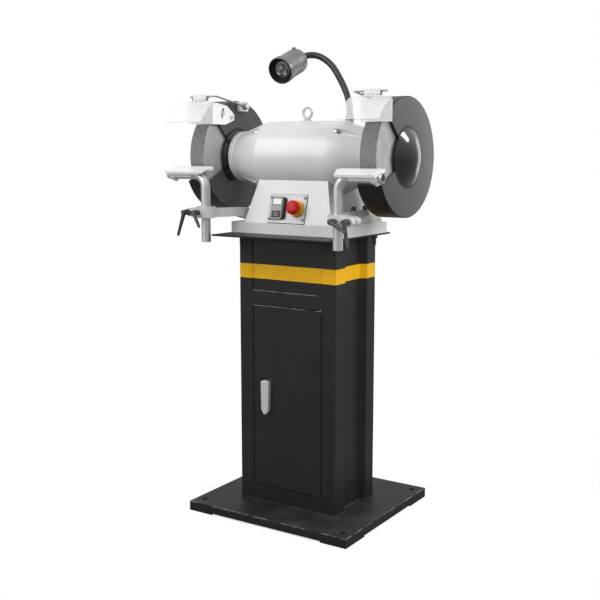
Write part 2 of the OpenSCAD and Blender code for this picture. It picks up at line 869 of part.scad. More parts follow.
// Outer wall with a round cap over the spindle's end
module guard_cover(side) {
    cap = (dome_r * dome_r + dome_h * dome_h) / (2 * dome_h);
    x0 = cover_x;
    t = guard_t;
    function rise(r) = sqrt(cap * cap - r * r) - cap + dome_h;
    color([0.22, 0.22, 0.23])
    on_side(side) difference() {
        revolve_x(concat(
            [for (r = [0:7.3:dome_r]) [r, x0 + t + rise(r)]],
            [[dome_r, x0 + t], [guard_r - 2, x0 + t], [guard_r, x0 + t - 1.5]],
            [[guard_r, x0], [dome_r - 1, x0]],
            [for (r = [dome_r - 3:-7:0]) [r, x0 + rise(r)]],
            [[0, x0 + rise(0)]]
        ));
        mouth(x0 - 5, 40);
    }
}

// Screws of the guards and of the spark brackets
module guard_screws() {
    seat = guard_x - inner_dome_h + guard_t + gap;
    color([0.55, 0.56, 0.58])
    for (side = sides) on_side(side) {
        for (a = guard_screw_angles) socket_screw_x(seat, guard_screw_spot(a), guard_screw_r, 5, 5, 12);
        for (at = [spark_pivot, spark_slot]) {
            rod_x(spark_x - spark_t - gap - 4, 4, 5.5, at);
            rod_x(spark_x - spark_t - gap - eps, spark_t + guard_t + 3 * gap + 4, 3, at);
        }
    }
}

// Folded bracket over the wheel's top front, on a pivot and an arc slot
module spark_bracket(side) {
    slot_r = norm(spark_slot - spark_pivot);
    slot_a = atan2(spark_slot[1] - spark_pivot[1], spark_slot[0] - spark_pivot[0]);
    sweep = 34;
    low = slot_a - sweep / 2;
    high = slot_a + sweep / 2;
    slot_half = 3.3;
    x0 = spark_x - spark_t;
    color([0.88, 0.88, 0.88])
    on_side(side) difference() {
        union() {
            across(x0, spark_t) polygon(spark_outline);
            translate([x0, spark_face, spark_low])
                cube([spark_w, spark_t, spark_high - spark_low]);
        }
        rod_x(x0 - 1, spark_t + 2, 3 + fit, spark_pivot);
        translate([0, spark_pivot[0], spark_pivot[1]]) across(x0 - 1, spark_t + 2)
            polygon(concat(
                [for (a = [low:2:high]) polar(slot_r + slot_half, a)],
                [for (a = [30:30:150]) polar(slot_r, high) + polar(slot_half, high + a)],
                [for (a = [high:-2:low]) polar(slot_r - slot_half, a)],
                [for (a = [210:30:330]) polar(slot_r, low) + polar(slot_half, low + a)]
            ));
    }
}

// Blocks on the guards that carry the shield rods, each with a pivot bolt
module shield_blocks() {
    x1 = guard_x - gap;
    x0 = x1 - block_t;
    color([0.70, 0.71, 0.72])
    for (side = sides) on_side(side) {
        translate([x0, block_y - block_w / 2, block_z - block_h / 2]) cube([block_t, block_w, block_h]);
        rod_x(x0 - hub_w - 2 * gap, hub_w + 2 * gap + eps, pivot_r, [block_y, block_z]);
        rod_x(x0 - hub_w - 2 * gap - 5, 5 + eps, pivot_r + 3, [block_y, block_z]);
        rod_x(x1 - eps, guard_t + gap + 5, pivot_r, [block_y + 10, block_z]);
    }
}

// Bent rod from the block's pivot forward and out over the wheel
module shield_rod(side) {
    r = rod_d / 2;
    run = norm([bar_y - block_y, bar_z - block_z]);
    pitch = atan2(bar_z - block_z, -(bar_y - block_y));
    tip = clip_x + clip_w / 2 + 14;
    color([0.35, 0.35, 0.36])
    on_side(side) difference() {
        union() {
            rod_x(rod_x - hub_w / 2, hub_w, hub_r, [block_y, block_z]);
            translate([rod_x, block_y, block_z]) rotate([90 - pitch, 0, 0]) cylinder(h = run, r = r);
            translate([rod_x, bar_y, bar_z]) sphere(r = r + 0.4);
            rod_x(rod_x, tip - rod_x, r, [bar_y, bar_z]);
        }
        rod_x(rod_x - hub_w, 2 * hub_w, pivot_r + fit, [block_y, block_z]);
    }
}

// Places its children on the shield: Y up the sheet towards the bar, Z off its face
module on_shield() {
    translate([clip_x, bar_y - 7, bar_z - 12]) rotate([shield_drop - shield_turn, 0, 0]) children();
}

// Clip on the bar with a jaw over the shield's edge and two screws
module shield_clip(side) {
    body_h = 16.2;
    body_d = 13;
    jaw = 12;
    jaw_in = 3;
    jaw_t = 3;
    color([0.30, 0.30, 0.31])
    on_side(side) difference() {
        union() {
            translate([clip_x - clip_w / 2, bar_y - body_d / 2 - 1.5, bar_z - body_h + 5])
                cube([clip_w, body_d, body_h]);
            on_shield() translate([1 - clip_w / 2, -jaw, gap]) cube([clip_w - 2, jaw + jaw_in, jaw_t]);
            on_shield() for (sx = sides) translate([sx * clip_w / 4, -jaw * 0.6, jaw_t / 2])
                cylinder(h = jaw_t + 1, r = 3);
        }
        rod_x(clip_x - clip_w, 2 * clip_w, rod_d / 2 + fit, [bar_y, bar_z]);
    }
}

// Clear sheet, bowed along its reach
module eye_shield(side) {
    steps = 10;
    arc = [for (i = [0:steps]) 90 + 2 * shield_turn * i / steps];
    color([0.80, 0.88, 0.92, 0.5])
    on_side(side) on_shield() rotate([90, 0, 90]) translate([0, 0, -shield_w / 2])
        linear_extrude(shield_w) translate([0, -shield_bow]) polygon(concat(
            [for (a = arc) polar(shield_bow, a)],
            [for (i = [steps:-1:0]) polar(shield_bow - shield_t, arc[i])]
        ));
}

// Tool rests

// Heights of a clamp boss's lower face and of its clamp screw
function boss_low(side) = side == right ? boss_z - boss_drop : boss_z;
function clamp_height(side) = boss_low(side) + boss_h / 2;

// Outline of the arm's foot, as [x, z]: high by the pedestal, thin at the plinth's edge
module foot_outline() {
    polygon([
        [foot_in, plinth_top], [foot_out, plinth_top], [foot_out, plinth_top + foot_low],
        [foot_in + 5, plinth_top + foot_high], [foot_in, plinth_top + foot_high]
    ]);
}

// Cast arm: foot on the plinth, neck, and a split boss round the post
module rest_arm(side) {
    low = boss_low(side);
    clamp_z = clamp_height(side);
    neck_z = low + 1;
    neck_h = boss_h - 6;
    pad_r = 12;
    color([0.85, 0.85, 0.85])
    on_side(side) difference() {
        union() {
            backwards(foot_front, foot_back - foot_front) foot_outline();
            hull() {
                translate([foot_in + 9, foot_front + 1, plinth_top + gap])
                    cylinder(h = foot_high - gap, r = 8, $fn = 32);
                translate([foot_out - 8, foot_front + 1, plinth_top + gap])
                    cylinder(h = foot_low, r = 8, $fn = 32);
                translate([foot_out - 9, plinth_front + 10, neck_z]) cylinder(h = neck_h, r = 11, $fn = 32);
            }
            hull() {
                translate([foot_out - 9, plinth_front + 10, neck_z]) cylinder(h = neck_h, r = 11, $fn = 32);
                translate([post_x, post_y, neck_z]) cylinder(h = neck_h, r = 16, $fn = 32);
            }
            for (y = arm_screw_y) translate([arm_screw_x, y, plinth_top]) cylinder(h = foot_high, r = pad_r);
            translate([post_x, post_y, low]) cylinder(h = boss_h, r = boss_r);
            translate([0, post_y - boss_r + 4, 0]) backwards(0, 2 * boss_r - 8) hull() {
                translate([post_x + lug_x, clamp_z]) circle(r = lug_r);
                translate([post_x, clamp_z]) circle(r = lug_r + 3.5);
            }
        }
        translate([post_x, post_y, low - 1]) cylinder(h = boss_h + 2, r = post_r + fit);
        translate([post_x, post_y - split / 2, low - 1]) cube([lug_x + 2 * lug_r, split, boss_h + 2]);
        translate([post_x + lug_x, post_y - 60, clamp_z]) rotate([-90, 0, 0])
            cylinder(h = 120, r = clamp_r + fit);
        translate([press_x, post_y - 60, clamp_z]) rotate([-90, 0, 0]) cylinder(h = 60, r = clamp_r + fit);
        for (y = arm_screw_y)
            translate([arm_screw_x, y, plinth_top - 1]) cylinder(h = foot_high + 2, r = arm_screw_r + fit);
    }
}

// Two socket screws through each arm's foot
module arm_screws() {
    head_h = 13;
    head_r = 7;
    seat_z = plinth_top + foot_high + gap;
    color([0.12, 0.12, 0.13])
    for (side = sides, y = arm_screw_y) on_side(side) translate([arm_screw_x, y, 0]) {
        translate([0, 0, stand_h + 2]) cylinder(h = seat_z - stand_h, r = arm_screw_r);
        difference() {
            translate([0, 0, seat_z]) cylinder(h = head_h, r = head_r);
            translate([0, 0, seat_z + head_h / 2]) cylinder(h = head_h, r = 4, $fn = 6);
        }
    }
}

// Solid round bar along the rest's route: up the post, round the bend and out
module rest_bar(r, over) {
    bend_z = rest_z - bend_r;
    translate([post_x, post_y, post_bottom - over]) cylinder(h = bend_z - post_bottom + over, r = r);
    translate([post_x + bend_r, post_y, bend_z]) rotate([90, 0, 0]) rotate([0, 0, 90])
        rotate_extrude(angle = 90) translate([bend_r, 0]) circle(r = r);
    rod_x(post_x + bend_r, rest_end - post_x - bend_r + over, r, [post_y, rest_z]);
}

// Bent tube, open at both ends
module rest_post(side) {
    color([0.80, 0.81, 0.82])
    on_side(side) difference() {
        rest_bar(post_r, 0);
        rest_bar(post_r - post_t, 1);
    }
}

// Rest plate with a saddle and a collar that hold the level tube
module rest_table(side) {
    front = -plate_d / 2 + 2;
    inner = post_x + 5;
    outer = rest_end - 9;
    saddle_in = post_x + bend_r + 4;
    collar_w = 15;
    slant = 20;
    chamfer = 10;
    color([0.82, 0.83, 0.84])
    on_side(side) translate([0, post_y, rest_z]) rotate([rest_tilt, 0, 0]) difference() {
        union() {
            translate([0, 0, plate_h - plate_t]) linear_extrude(plate_t) polygon([
                [inner, front], [outer, front], [outer, front + plate_d],
                [inner - slant + chamfer, front + plate_d], [inner - slant, front + plate_d - chamfer]
            ]);
            translate([saddle_in, -post_r - 4, -3]) cube([outer - 4 - saddle_in, post_d + 8, plate_h - 4]);
            translate([outer - 4 - collar_w, 0, 0]) rotate([0, 90, 0])
                cylinder(h = collar_w, r = post_r + 3.5);
            translate([outer - 4 - collar_w / 2, 0, -post_r - 7]) cylinder(h = 7, r = 4.5);
        }
        translate([inner - slant - 1, 0, 0]) rotate([0, 90, 0])
            cylinder(h = rest_end, r = post_r + fit);
    }
}

// Clamp lever along -Y: shank, hub, and a tapered handle that hangs from it
module lever(at, shank, reach, swing, forward) {
    hub_l = 26;
    base_l = 9;
    root_r = 6;
    tip_r = 4;
    translate(at) {
        rotate([-90, 0, 0]) cylinder(h = shank, r = clamp_r);
        rotate([90, 0, 0]) cylinder(h = base_l, r1 = lever_r - 1, r2 = lever_r);
        translate([0, -base_l, 0]) rotate([90, 0, 0])
            cylinder(h = hub_l - base_l, r1 = lever_r, r2 = lever_r - 1.5);
        hull() {
            translate([0, root_r - hub_l, 0]) sphere(r = root_r, $fn = 24);
            rotate([0, swing, 0]) translate([0, tip_r - hub_l - forward, -reach]) sphere(r = tip_r, $fn = 24);
        }
    }
}

// Long lever on the screw that closes the split boss
module clamp_lever(side) {
    front = post_y - boss_r + 4 - gap;
    color([0.16, 0.16, 0.17])
    on_side(side) lever([post_x + lug_x, front, clamp_height(side)], 2 * boss_r - 10, 64, -14, 6);
}

// Short lever that presses the post from the boss's front
module post_lever(side) {
    front = post_y - boss_r - gap;
    swing = side == left ? 40 : -66;
    reach = side == left ? 46 : 58;
    color([0.16, 0.16, 0.17])
    on_side(side) lever([press_x, front, clamp_height(side)], boss_r - post_r - 1, reach, swing, 12);
}

// Switches

// Plate on the pedestal's leaning face
module switch_plate() {
    color([0.70, 0.71, 0.73])
    on_face() difference() {
        translate([plate_x - switch_w / 2, -switch_t, switch_foot])
            cube([switch_w, switch_t - eps, switch_h]);
        for (at = [start_at, stop_at])
            translate([at[0] - key_w / 2 - 1, -20, at[1] - key_h / 2 - 1]) cube([key_w + 2, 40, key_h + 2]);
        face_rod([estop_x, estop_s], -5, 20, estop_neck + fit);
        for (at = panel_screw_at) face_rod(at, -5, 20, panel_screw_r + fit);
    }
}

// Switch block behind the plate, with a raised divider in front
module switch_body() {
    color([0.10, 0.10, 0.11])
    on_face() difference() {
        union() {
            translate([start_at[0] - switch_block[0] / 2, gap, switch_foot + hatch_edge + 1])
                cube(switch_block);
            translate([estop_x - estop_block / 2, gap, estop_s - estop_block / 2])
                cube([estop_block, switch_block[1], estop_block]);
        }
        for (at = [start_at, stop_at])
            translate([at[0] - key_w / 2 - 0.5, -5, at[1] - key_h / 2 - 0.5])
                cube([key_w + 1, 21, key_h + 1]);
        face_rod([estop_x, estop_s], -20, 2, estop_neck + fit);
    }
}

// Sliding key in the switch block
module key(at, tone, proud) {
    color(tone)
    on_face() translate([at[0] - key_w / 2, -switch_t - proud, at[1] - key_h / 2])
        cube([key_w, switch_t + proud + 11, key_h]);
}

module start_button() {
    key(start_at, [0.92, 0.92, 0.92], 4);
}

module stop_button() {
    key(stop_at, [0.12, 0.12, 0.12], 4);
}

// Yellow ring and threaded barrel of the emergency stop
module estop_ring() {
    color([0.92, 0.72, 0.10])
    on_face() difference() {
        union() {
            face_rod([estop_x, estop_s], switch_t + gap, switch_t + 9, ring_d / 2);
            face_rod([estop_x, estop_s], -16, switch_t + gap + eps, estop_neck);
        }
        face_rod([estop_x, estop_s], -30, 60, estop_stem + fit);
    }
}

// Red mushroom with its stem
module estop_button() {
    out = switch_t + 16;
    color([0.80, 0.10, 0.10])
    on_face() translate([estop_x, 0, estop_s]) rotate([90, 0, 0]) {
        translate([0, 0, -10]) cylinder(h = out + 11, r = estop_stem);
        translate([0, 0, out]) rotate_extrude() polygon([
            [0, 0], [estop_d / 2 - 3, 0], [estop_d / 2, 4], [estop_d / 2, 9],
            [estop_d / 2 - 3, 13], [estop_d / 2 - 8, 15], [0, 16]
        ]);
    }
}

// Four round-headed screws of the switch plate
module panel_screws() {
    color([0.60, 0.61, 0.62])
    on_face() for (at = panel_screw_at) {
        face_rod(at, switch_t + gap, switch_t + 2.5, 4);
        face_rod(at, -8, switch_t + gap + eps, panel_screw_r);
    }
}

// Top of the motor

// Lifting eye with a collar and a shank in the motor's boss
module eye_bolt() {
    wire = 4.5;
    ring = 14;
    collar_z = spindle_z + motor_r + 1.5 + gap;
    color([0.80, 0.81, 0.82])
    translate([0, spindle_y, collar_z]) {
        cylinder(h = 4, r = 11);
        translate([0, 0, 4 - eps]) cylinder(h = 6, r1 = 9, r2 = 5);
        translate([0, 0, -motor_t]) cylinder(h = motor_t + 1, r = eye_shank);
        translate([0, 0, eye_h - 2 - ring - wire]) rotate([90, 0, 0]) rotate_extrude()
            translate([ring, 0]) circle(r = wire, $fn = 32);
    }
}

// Point on the neck's smooth route, at parameter u in segments
function neck_point(u) =
    let (
        last = len(neck_route) - 1,
        i = min(floor(u), last - 1),
        t = u - i,
        p1 = neck_route[i],
        p2 = neck_route[i + 1],
        p0 = i > 0 ? neck_route[i - 1] : 2 * p1 - p2,
        p3 = i + 2 <= last ? neck_route[i + 2] : 2 * p2 - p1
    )
    0.5 * (2 * p1 + (p2 - p0) * t + (2 * p0 - 5 * p1 + 4 * p2 - p3) * t * t
        + (3 * p1 - p0 - 3 * p2 + p3) * t * t * t);

function unit(v) = v / norm(v);

// Direction of the neck at parameter u
function neck_way(u) =
    let (last = len(neck_route) - 1)
    unit(neck_point(min(u + 0.05, last)) - neck_point(max(u - 0.05, 0)));

// Sideways vector carried along the neck without twist, one per ring
function carried(n, way, side) =
    n == len(way) - 1 ? [side] :
    concat([side], carried(n + 1, way, unit(side - (side * way[n + 1]) * way[n + 1])));

// Flexible neck: one swept tube, a foot nut on the motor and a ferrule at the barrel
module gooseneck() {
    rings = (len(neck_route) - 1) * neck_steps;
    way = [for (k = [0:rings]) neck_way(k / neck_steps)];
    start = unit([0, 1, 0] - ([0, 1, 0] * way[0]) * way[0]);
    across_neck = carried(0, way, start);
    r = neck_d / 2;
    points = [
        for (k = [0:rings], j = [0:neck_sides - 1])
            let (a = 360 * j / neck_sides, s = across_neck[k], b = cross(way[k], s))
            neck_point(k / neck_steps) + r * cos(a) * s + r * sin(a) * b
    ];
    walls = [
        for (k = [0:rings - 1], j = [0:neck_sides - 1])
            let (a = k * neck_sides + j, b = k * neck_sides + (j + 1) % neck_sides)
            each [[a, b, b + neck_sides], [a, b + neck_sides, a + neck_sides]]
    ];
    ends = [
        [for (j = [neck_sides - 1:-1:0]) j],
        [for (j = [0:neck_sides - 1]) rings * neck_sides + j]
    ];
    foot = neck_route[0];
    color([0.14, 0.14, 0.15]) {
        polyhedron(
            points = points,
            faces = [for (f = concat(walls, ends)) [for (i = [len(f) - 1:-1:0]) f[i]]]
        );
        translate([foot[0], foot[1], lamp_boss_z + gap]) hex_nut(r + 4, 7);
        translate([foot[0], foot[1], lamp_boss_z + gap + 7 - eps]) cylinder(h = 10, r1 = r + 3, r2 = r + 1.2);
    }
}

// Places its children on the barrel's axis: Z runs from its back to its front
module on_lamp() {
    translate(neck_route[len(neck_route) - 1]) rotate([0, 0, lamp_turn]) rotate([90 + lamp_dip, 0, 0])
        children();
}

// Grooved barrel with a domed back, hollow in front of the lamps
module lamp_head() {
    r = lamp_d / 2;
    pitch = 7;
    groove = 3.2;
    first = 32;
    lens_z = lamp_len - 12;
    body = concat(
        [[0, gap], [neck_d / 2 + 3, gap], [neck_d / 2 + 4, 6], [r - 12, 9], [r - 4, 16]],
        [[r - 1, 24], [r - 1, first]],
        [for (i = [0:lamp_grooves - 1]) each [
            [r - 5, first + i * pitch], [r - 5, first + i * pitch + groove],
            [r, first + i * pitch + groove], [r, first + (i + 1) * pitch]
        ]],
        [[r + 1.5, first + lamp_grooves * pitch + 4], [r + 2, lamp_len - 2], [r, lamp_len], [r - 3, lamp_len],
         [r - 4, lens_z], [0, lens_z]]
    );
    color([0.13, 0.13, 0.14])
    on_lamp() difference() {
        rotate_extrude() polygon(body);
        translate([0, r - 9, lamp_switch_at]) rotate([-90, 0, 0]) cylinder(h = 20, r = lamp_switch_r + fit);
    }
}

// Lens disc with three cups for the lamps
module lamp_lens() {
    r = lamp_d / 2;
    color([0.75, 0.77, 0.80])
    on_lamp() difference() {
        translate([0, 0, lamp_len - 12 + gap]) cylinder(h = 6, r = r - 4.6);
        for (a = [90, 210, 330])
            translate([14 * cos(a), 14 * sin(a), lamp_len - 9]) cylinder(h = 6, r1 = 5, r2 = 10.5);
    }
}

// Small push switch on the barrel's top
module lamp_switch() {
    color([0.10, 0.10, 0.10])
    on_lamp() translate([0, lamp_d / 2 - 5, lamp_switch_at]) rotate([-90, 0, 0])
        cylinder(h = 8, r = lamp_switch_r);
}

base_plate();
column();
upper_panel();
door();
hinge_pins();
door_handle();
latch_cam();
top_plate();
stand_bolts();
cast_base();
motor_housing();
end_bell(left);  // end_bell_left
end_bell(right);  // end_bell_right
bell_screws();
stator();
bearings();
rotor();
spindle();
wheel_flanges();
wheel(left);  // wheel_left
wheel(right);  // wheel_right
spindle_nuts();
switch_plate();
switch_body();
start_button();
stop_button();
estop_ring();
estop_button();
panel_screws();
cable_gland();
guard(left);  // guard_left
guard(right);  // guard_right
guard_cover(left);  // guard_cover_left
guard_cover(right);  // guard_cover_right
guard_screws();
spark_bracket(left);  // spark_bracket_left
spark_bracket(right);  // spark_bracket_right
shield_blocks();
shield_rod(left);  // shield_rod_left
shield_rod(right);  // shield_rod_right
shield_clip(left);  // shield_clip_left
shield_clip(right);  // shield_clip_right
eye_shield(left);  // eye_shield_left
eye_shield(right);  // eye_shield_right
rest_arm(left);  // rest_arm_left
rest_arm(right);  // rest_arm_right
arm_screws();
rest_post(left);  // rest_post_left
rest_post(right);  // rest_post_right
rest_table(left);  // rest_table_left
rest_table(right);  // rest_table_right
clamp_lever(left);  // clamp_lever_left
clamp_lever(right);  // clamp_lever_right
post_lever(left);  // post_lever_left
post_lever(right);  // post_lever_right
eye_bolt();
gooseneck();
lamp_head();
lamp_lens();
lamp_switch();
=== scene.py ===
"""Double-wheel pedestal grinder on a cabinet stand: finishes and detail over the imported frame.

Every length is in metres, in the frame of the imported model: +X to the right along the spindle,
+Y to the rear, +Z up, with the origin on the floor under the base plate's middle.
"""

from __future__ import annotations

import json
import logging
import math
import random
from dataclasses import dataclass
from enum import Enum
from typing import Any, Callable, Iterable, Sequence

import bpy
from mathutils import Matrix, Vector

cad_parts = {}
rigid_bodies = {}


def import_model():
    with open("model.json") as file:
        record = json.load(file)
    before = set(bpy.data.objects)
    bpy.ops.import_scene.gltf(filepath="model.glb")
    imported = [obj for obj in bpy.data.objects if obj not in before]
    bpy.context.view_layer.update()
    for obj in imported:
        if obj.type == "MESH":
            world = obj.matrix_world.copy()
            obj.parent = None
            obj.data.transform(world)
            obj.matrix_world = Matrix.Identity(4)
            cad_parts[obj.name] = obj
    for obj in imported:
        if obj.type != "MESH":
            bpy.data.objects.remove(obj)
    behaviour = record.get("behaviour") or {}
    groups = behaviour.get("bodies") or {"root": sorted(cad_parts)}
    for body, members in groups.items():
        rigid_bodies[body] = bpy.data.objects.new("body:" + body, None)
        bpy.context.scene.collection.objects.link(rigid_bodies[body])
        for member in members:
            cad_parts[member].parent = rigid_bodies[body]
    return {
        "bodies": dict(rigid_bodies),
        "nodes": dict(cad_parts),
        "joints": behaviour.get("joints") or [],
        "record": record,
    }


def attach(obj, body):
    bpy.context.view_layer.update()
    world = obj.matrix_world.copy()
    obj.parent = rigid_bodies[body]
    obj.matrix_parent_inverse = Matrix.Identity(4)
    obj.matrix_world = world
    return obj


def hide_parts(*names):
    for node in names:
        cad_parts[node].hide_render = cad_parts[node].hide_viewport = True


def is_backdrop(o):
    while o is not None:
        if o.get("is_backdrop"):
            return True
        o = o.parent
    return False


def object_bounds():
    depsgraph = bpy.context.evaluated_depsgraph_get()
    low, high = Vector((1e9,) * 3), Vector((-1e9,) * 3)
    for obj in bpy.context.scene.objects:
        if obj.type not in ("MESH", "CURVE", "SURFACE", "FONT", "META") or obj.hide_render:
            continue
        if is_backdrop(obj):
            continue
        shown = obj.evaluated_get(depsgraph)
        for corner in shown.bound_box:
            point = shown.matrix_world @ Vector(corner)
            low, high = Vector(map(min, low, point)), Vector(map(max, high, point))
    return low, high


LOG = logging.getLogger("grinder")
MM = 0.001
SPINDLE_Y = -0.014
SPINDLE_Z = 1.024
RGB = tuple[float, float, float]
Pair = tuple[float, float]
Box = tuple[float, float, float, float]
Piece = bpy.types.Object


def grey(value: float) -> RGB:
    """A neutral colour."""
    return (value, value, value)


def darker(colour: RGB, by: float) -> RGB:
    """A colour multiplied by a number."""
    return tuple(channel * by for channel in colour)


def polar(radius: float, turn: float) -> Pair:
    """A point of a circle, at an angle in radians."""
    return (radius * math.cos(turn), radius * math.sin(turn))


def metres(points: Iterable[Pair]) -> list[Pair]:
    """Points that are given in millimetres, in metres."""
    return [(first * MM, second * MM) for first, second in points]


class Side(Enum):
    """The two ends of the machine."""

    LEFT = -1
    RIGHT = 1

    @property
    def word(self) -> str:
        """The ending of this side's node names."""
        return self.name.lower()

    @property
    def endwise(self) -> Matrix:
        """Carries X, Y and Z to Y, Z and this side's end of X."""
        return Matrix(((0, 0, self.value, 0), (1, 0, 0, 0), (0, 1, 0, 0), (0, 0, 0, 1)))

    def shaft(self, out: float = 0.0) -> Matrix:
        """A place on the spindle's axis, out from its middle, whose Z points to this side."""
        place = Matrix.Translation((self.value * out, SPINDLE_Y, SPINDLE_Z))
        return place @ Matrix.Rotation(self.value * math.pi / 2, 4, "Y")


class Wire:
    """A number in a material, on which Python's operators add Math nodes."""

    def __init__(self, bench: Bench, socket: bpy.types.NodeSocket) -> None:
        """Holds a socket and the bench it belongs to."""
        self.bench = bench
        self.socket = socket

    def _math(self, operation: str, first: Any, second: Any = None) -> Wire:
        """Adds one Math node.

        Args:
            operation: The node's operation.
            first: Its first value or wire.
            second: Its second value or wire.

        Returns:
            The node's result.
        """
        values = {0: first} if second is None else {0: first, 1: second}
        made = self.bench.node("ShaderNodeMath", {"operation": operation}, values)
        return Wire(self.bench, made.outputs[0])

    def __add__(self, other: Any) -> Wire:
        """self + other."""
        return self._math("ADD", self, other)

    def __sub__(self, other: Any) -> Wire:
        """self - other."""
        return self._math("SUBTRACT", self, other)

    def __rsub__(self, other: Any) -> Wire:
        """other - self."""
        return self._math("SUBTRACT", other, self)

    def __mul__(self, other: Any) -> Wire:
        """self * other."""
        return self._math("MULTIPLY", self, other)

    def __abs__(self) -> Wire:
        """The value without its sign."""
        return self._math("ABSOLUTE", self)

    def greater_of(self, other: Any) -> Wire:
        """The greater of the two."""
        return self._math("MAXIMUM", self, other)

    def rise(self, low: float, high: float) -> Wire:
        """A smooth step from 0 at low to 1 at high."""
        made = self.bench.node(
            "ShaderNodeMapRange",
            {"interpolation_type": "SMOOTHSTEP"},
            {"Value": self, "From Min": low, "From Max": high},
        )
        return Wire(self.bench, made.outputs[0])


class Bench:
    """The node tree of a material or world, with short calls that add to it."""

    def __init__(self, name: str, world: bool = False) -> None:
        """Starts an empty material or world."""
        self.owner = (bpy.data.worlds if world else bpy.data.materials).new(name)
        self.owner.use_nodes = True
        self.tree = self.owner.node_tree
        self.tree.nodes.clear()
        self.spaces = self.node("ShaderNodeTexCoord").outputs
        self.place = self.spaces["Object"]

    def node(self, kind: str, settings: dict | None = None, inputs: dict | None = None) -> Any:
        """Adds a node.

        Args:
            kind: The node's type.
            settings: Its properties.
            inputs: Values or links of its sockets, by name or number.

        Returns:
            The node.
        """
        made = self.tree.nodes.new(kind)
        for name, value in (settings or {}).items():
            setattr(made, name, value)
        for key, value in (inputs or {}).items():
            source = value.socket if isinstance(value, Wire) else value
            if isinstance(source, bpy.types.NodeSocket):
                self.tree.links.new(source, made.inputs[key])
            elif made.inputs[key].type == "RGBA":
                made.inputs[key].default_value = (*source, 1.0)
            else:
                made.inputs[key].default_value = source
        return made

    def axes(self, space: str = "Object") -> tuple[Wire, Wire, Wire]:
        """The three coordinates of the shaded point."""
        split = self.node("ShaderNodeSeparateXYZ", inputs={0: self.spaces[space]})
        return tuple(Wire(self, socket) for socket in split.outputs)

    def noise(self, size: float, detail: float = 2.0, stretch: RGB = (1, 1, 1)) -> Wire:
        """Noise whose patches are about size millimetres wide, drawn out by stretch."""
        scale = tuple(1 / s for s in stretch)
        moved = self.node("ShaderNodeMapping", inputs={"Vector": self.place, "Scale": scale})
        inputs = {"Vector": moved.outputs[0], "Scale": 1 / (size * MM), "Detail": detail}
        return Wire(self, self.node("ShaderNodeTexNoise", inputs=inputs).outputs["Fac"])

    def cells(self, size: float) -> Wire:
        """Distance to the nearest of many scattered points, size millimetres apart."""
        made = self.node("ShaderNodeTexVoronoi", inputs={"Vector": self.place, "Scale": 1 / (size * MM)})
        return Wire(self, made.outputs["Distance"])

    def mix(self, mask: Wire, low: Any, high: Any) -> bpy.types.NodeSocket:
        """A colour that goes from low to high as the mask goes from 0 to 1."""
        made = self.node("ShaderNodeMix", {"data_type": "RGBA"}, {0: mask, 6: low, 7: high})
        return made.outputs[2]

    def bump(self, height: Wire, depth: float) -> bpy.types.NodeSocket:
        """A normal from a height of 0 to 1 that stands for depth millimetres."""
        inputs = {"Height": height, "Distance": depth * MM, "Strength": 1.0}
        return self.node("ShaderNodeBump", inputs=inputs).outputs[0]


@dataclass(frozen=True)
class Finish:
    """A named material, with the depth and size of its grain in millimetres."""

    name: str

    def sockets(self, bench: Bench) -> dict[str, Any]:
        """The shader's values, with spaces of the names written as underscores."""
        raise NotImplementedError

    def build(self) -> bpy.types.Material:
        """Makes the material, with one Principled shader."""
        bench = Bench(self.name)
        inputs = {key.replace("_", " "): value for key, value in self.sockets(bench).items()}
        shader = bench.node("ShaderNodeBsdfPrincipled", inputs=inputs)
        bench.node("ShaderNodeOutputMaterial", inputs={0: shader.outputs[0]})
        return bench.owner


@dataclass(frozen=True)
class Paint(Finish):
    """A sprayed coat with orange peel and faint mottling."""

    colour: RGB
    roughness: float = 0.35
    coat: float = 0.0
    peel: float = 0.02
    peel_size: float = 1.6
    mottle: float = 0.06
    shine: float = 0.5

    def colours(self, bench: Bench) -> Any:
        """The coat's colour before any band or wear."""
        patches = bench.noise(60, 4).rise(0.3, 0.7)
        return bench.mix(patches, darker(self.colour, 1 - self.mottle), darker(self.colour, 1 + self.mottle))

    def height(self, bench: Bench) -> Wire:
        """The coat's relief."""
        return bench.noise(self.peel_size, 2)

    def sockets(self, bench: Bench) -> dict[str, Any]:
        """The shader's values."""
        dull = bench.noise(25, 3) * 0.12 + (self.roughness - 0.06)
        return dict(
            Base_Color=self.colours(bench),
            Roughness=dull,
            Specular_IOR_Level=self.shine,
            Coat_Weight=self.coat,
            Coat_Roughness=0.12,
            Normal=bench.bump(self.height(bench), self.peel),
        )


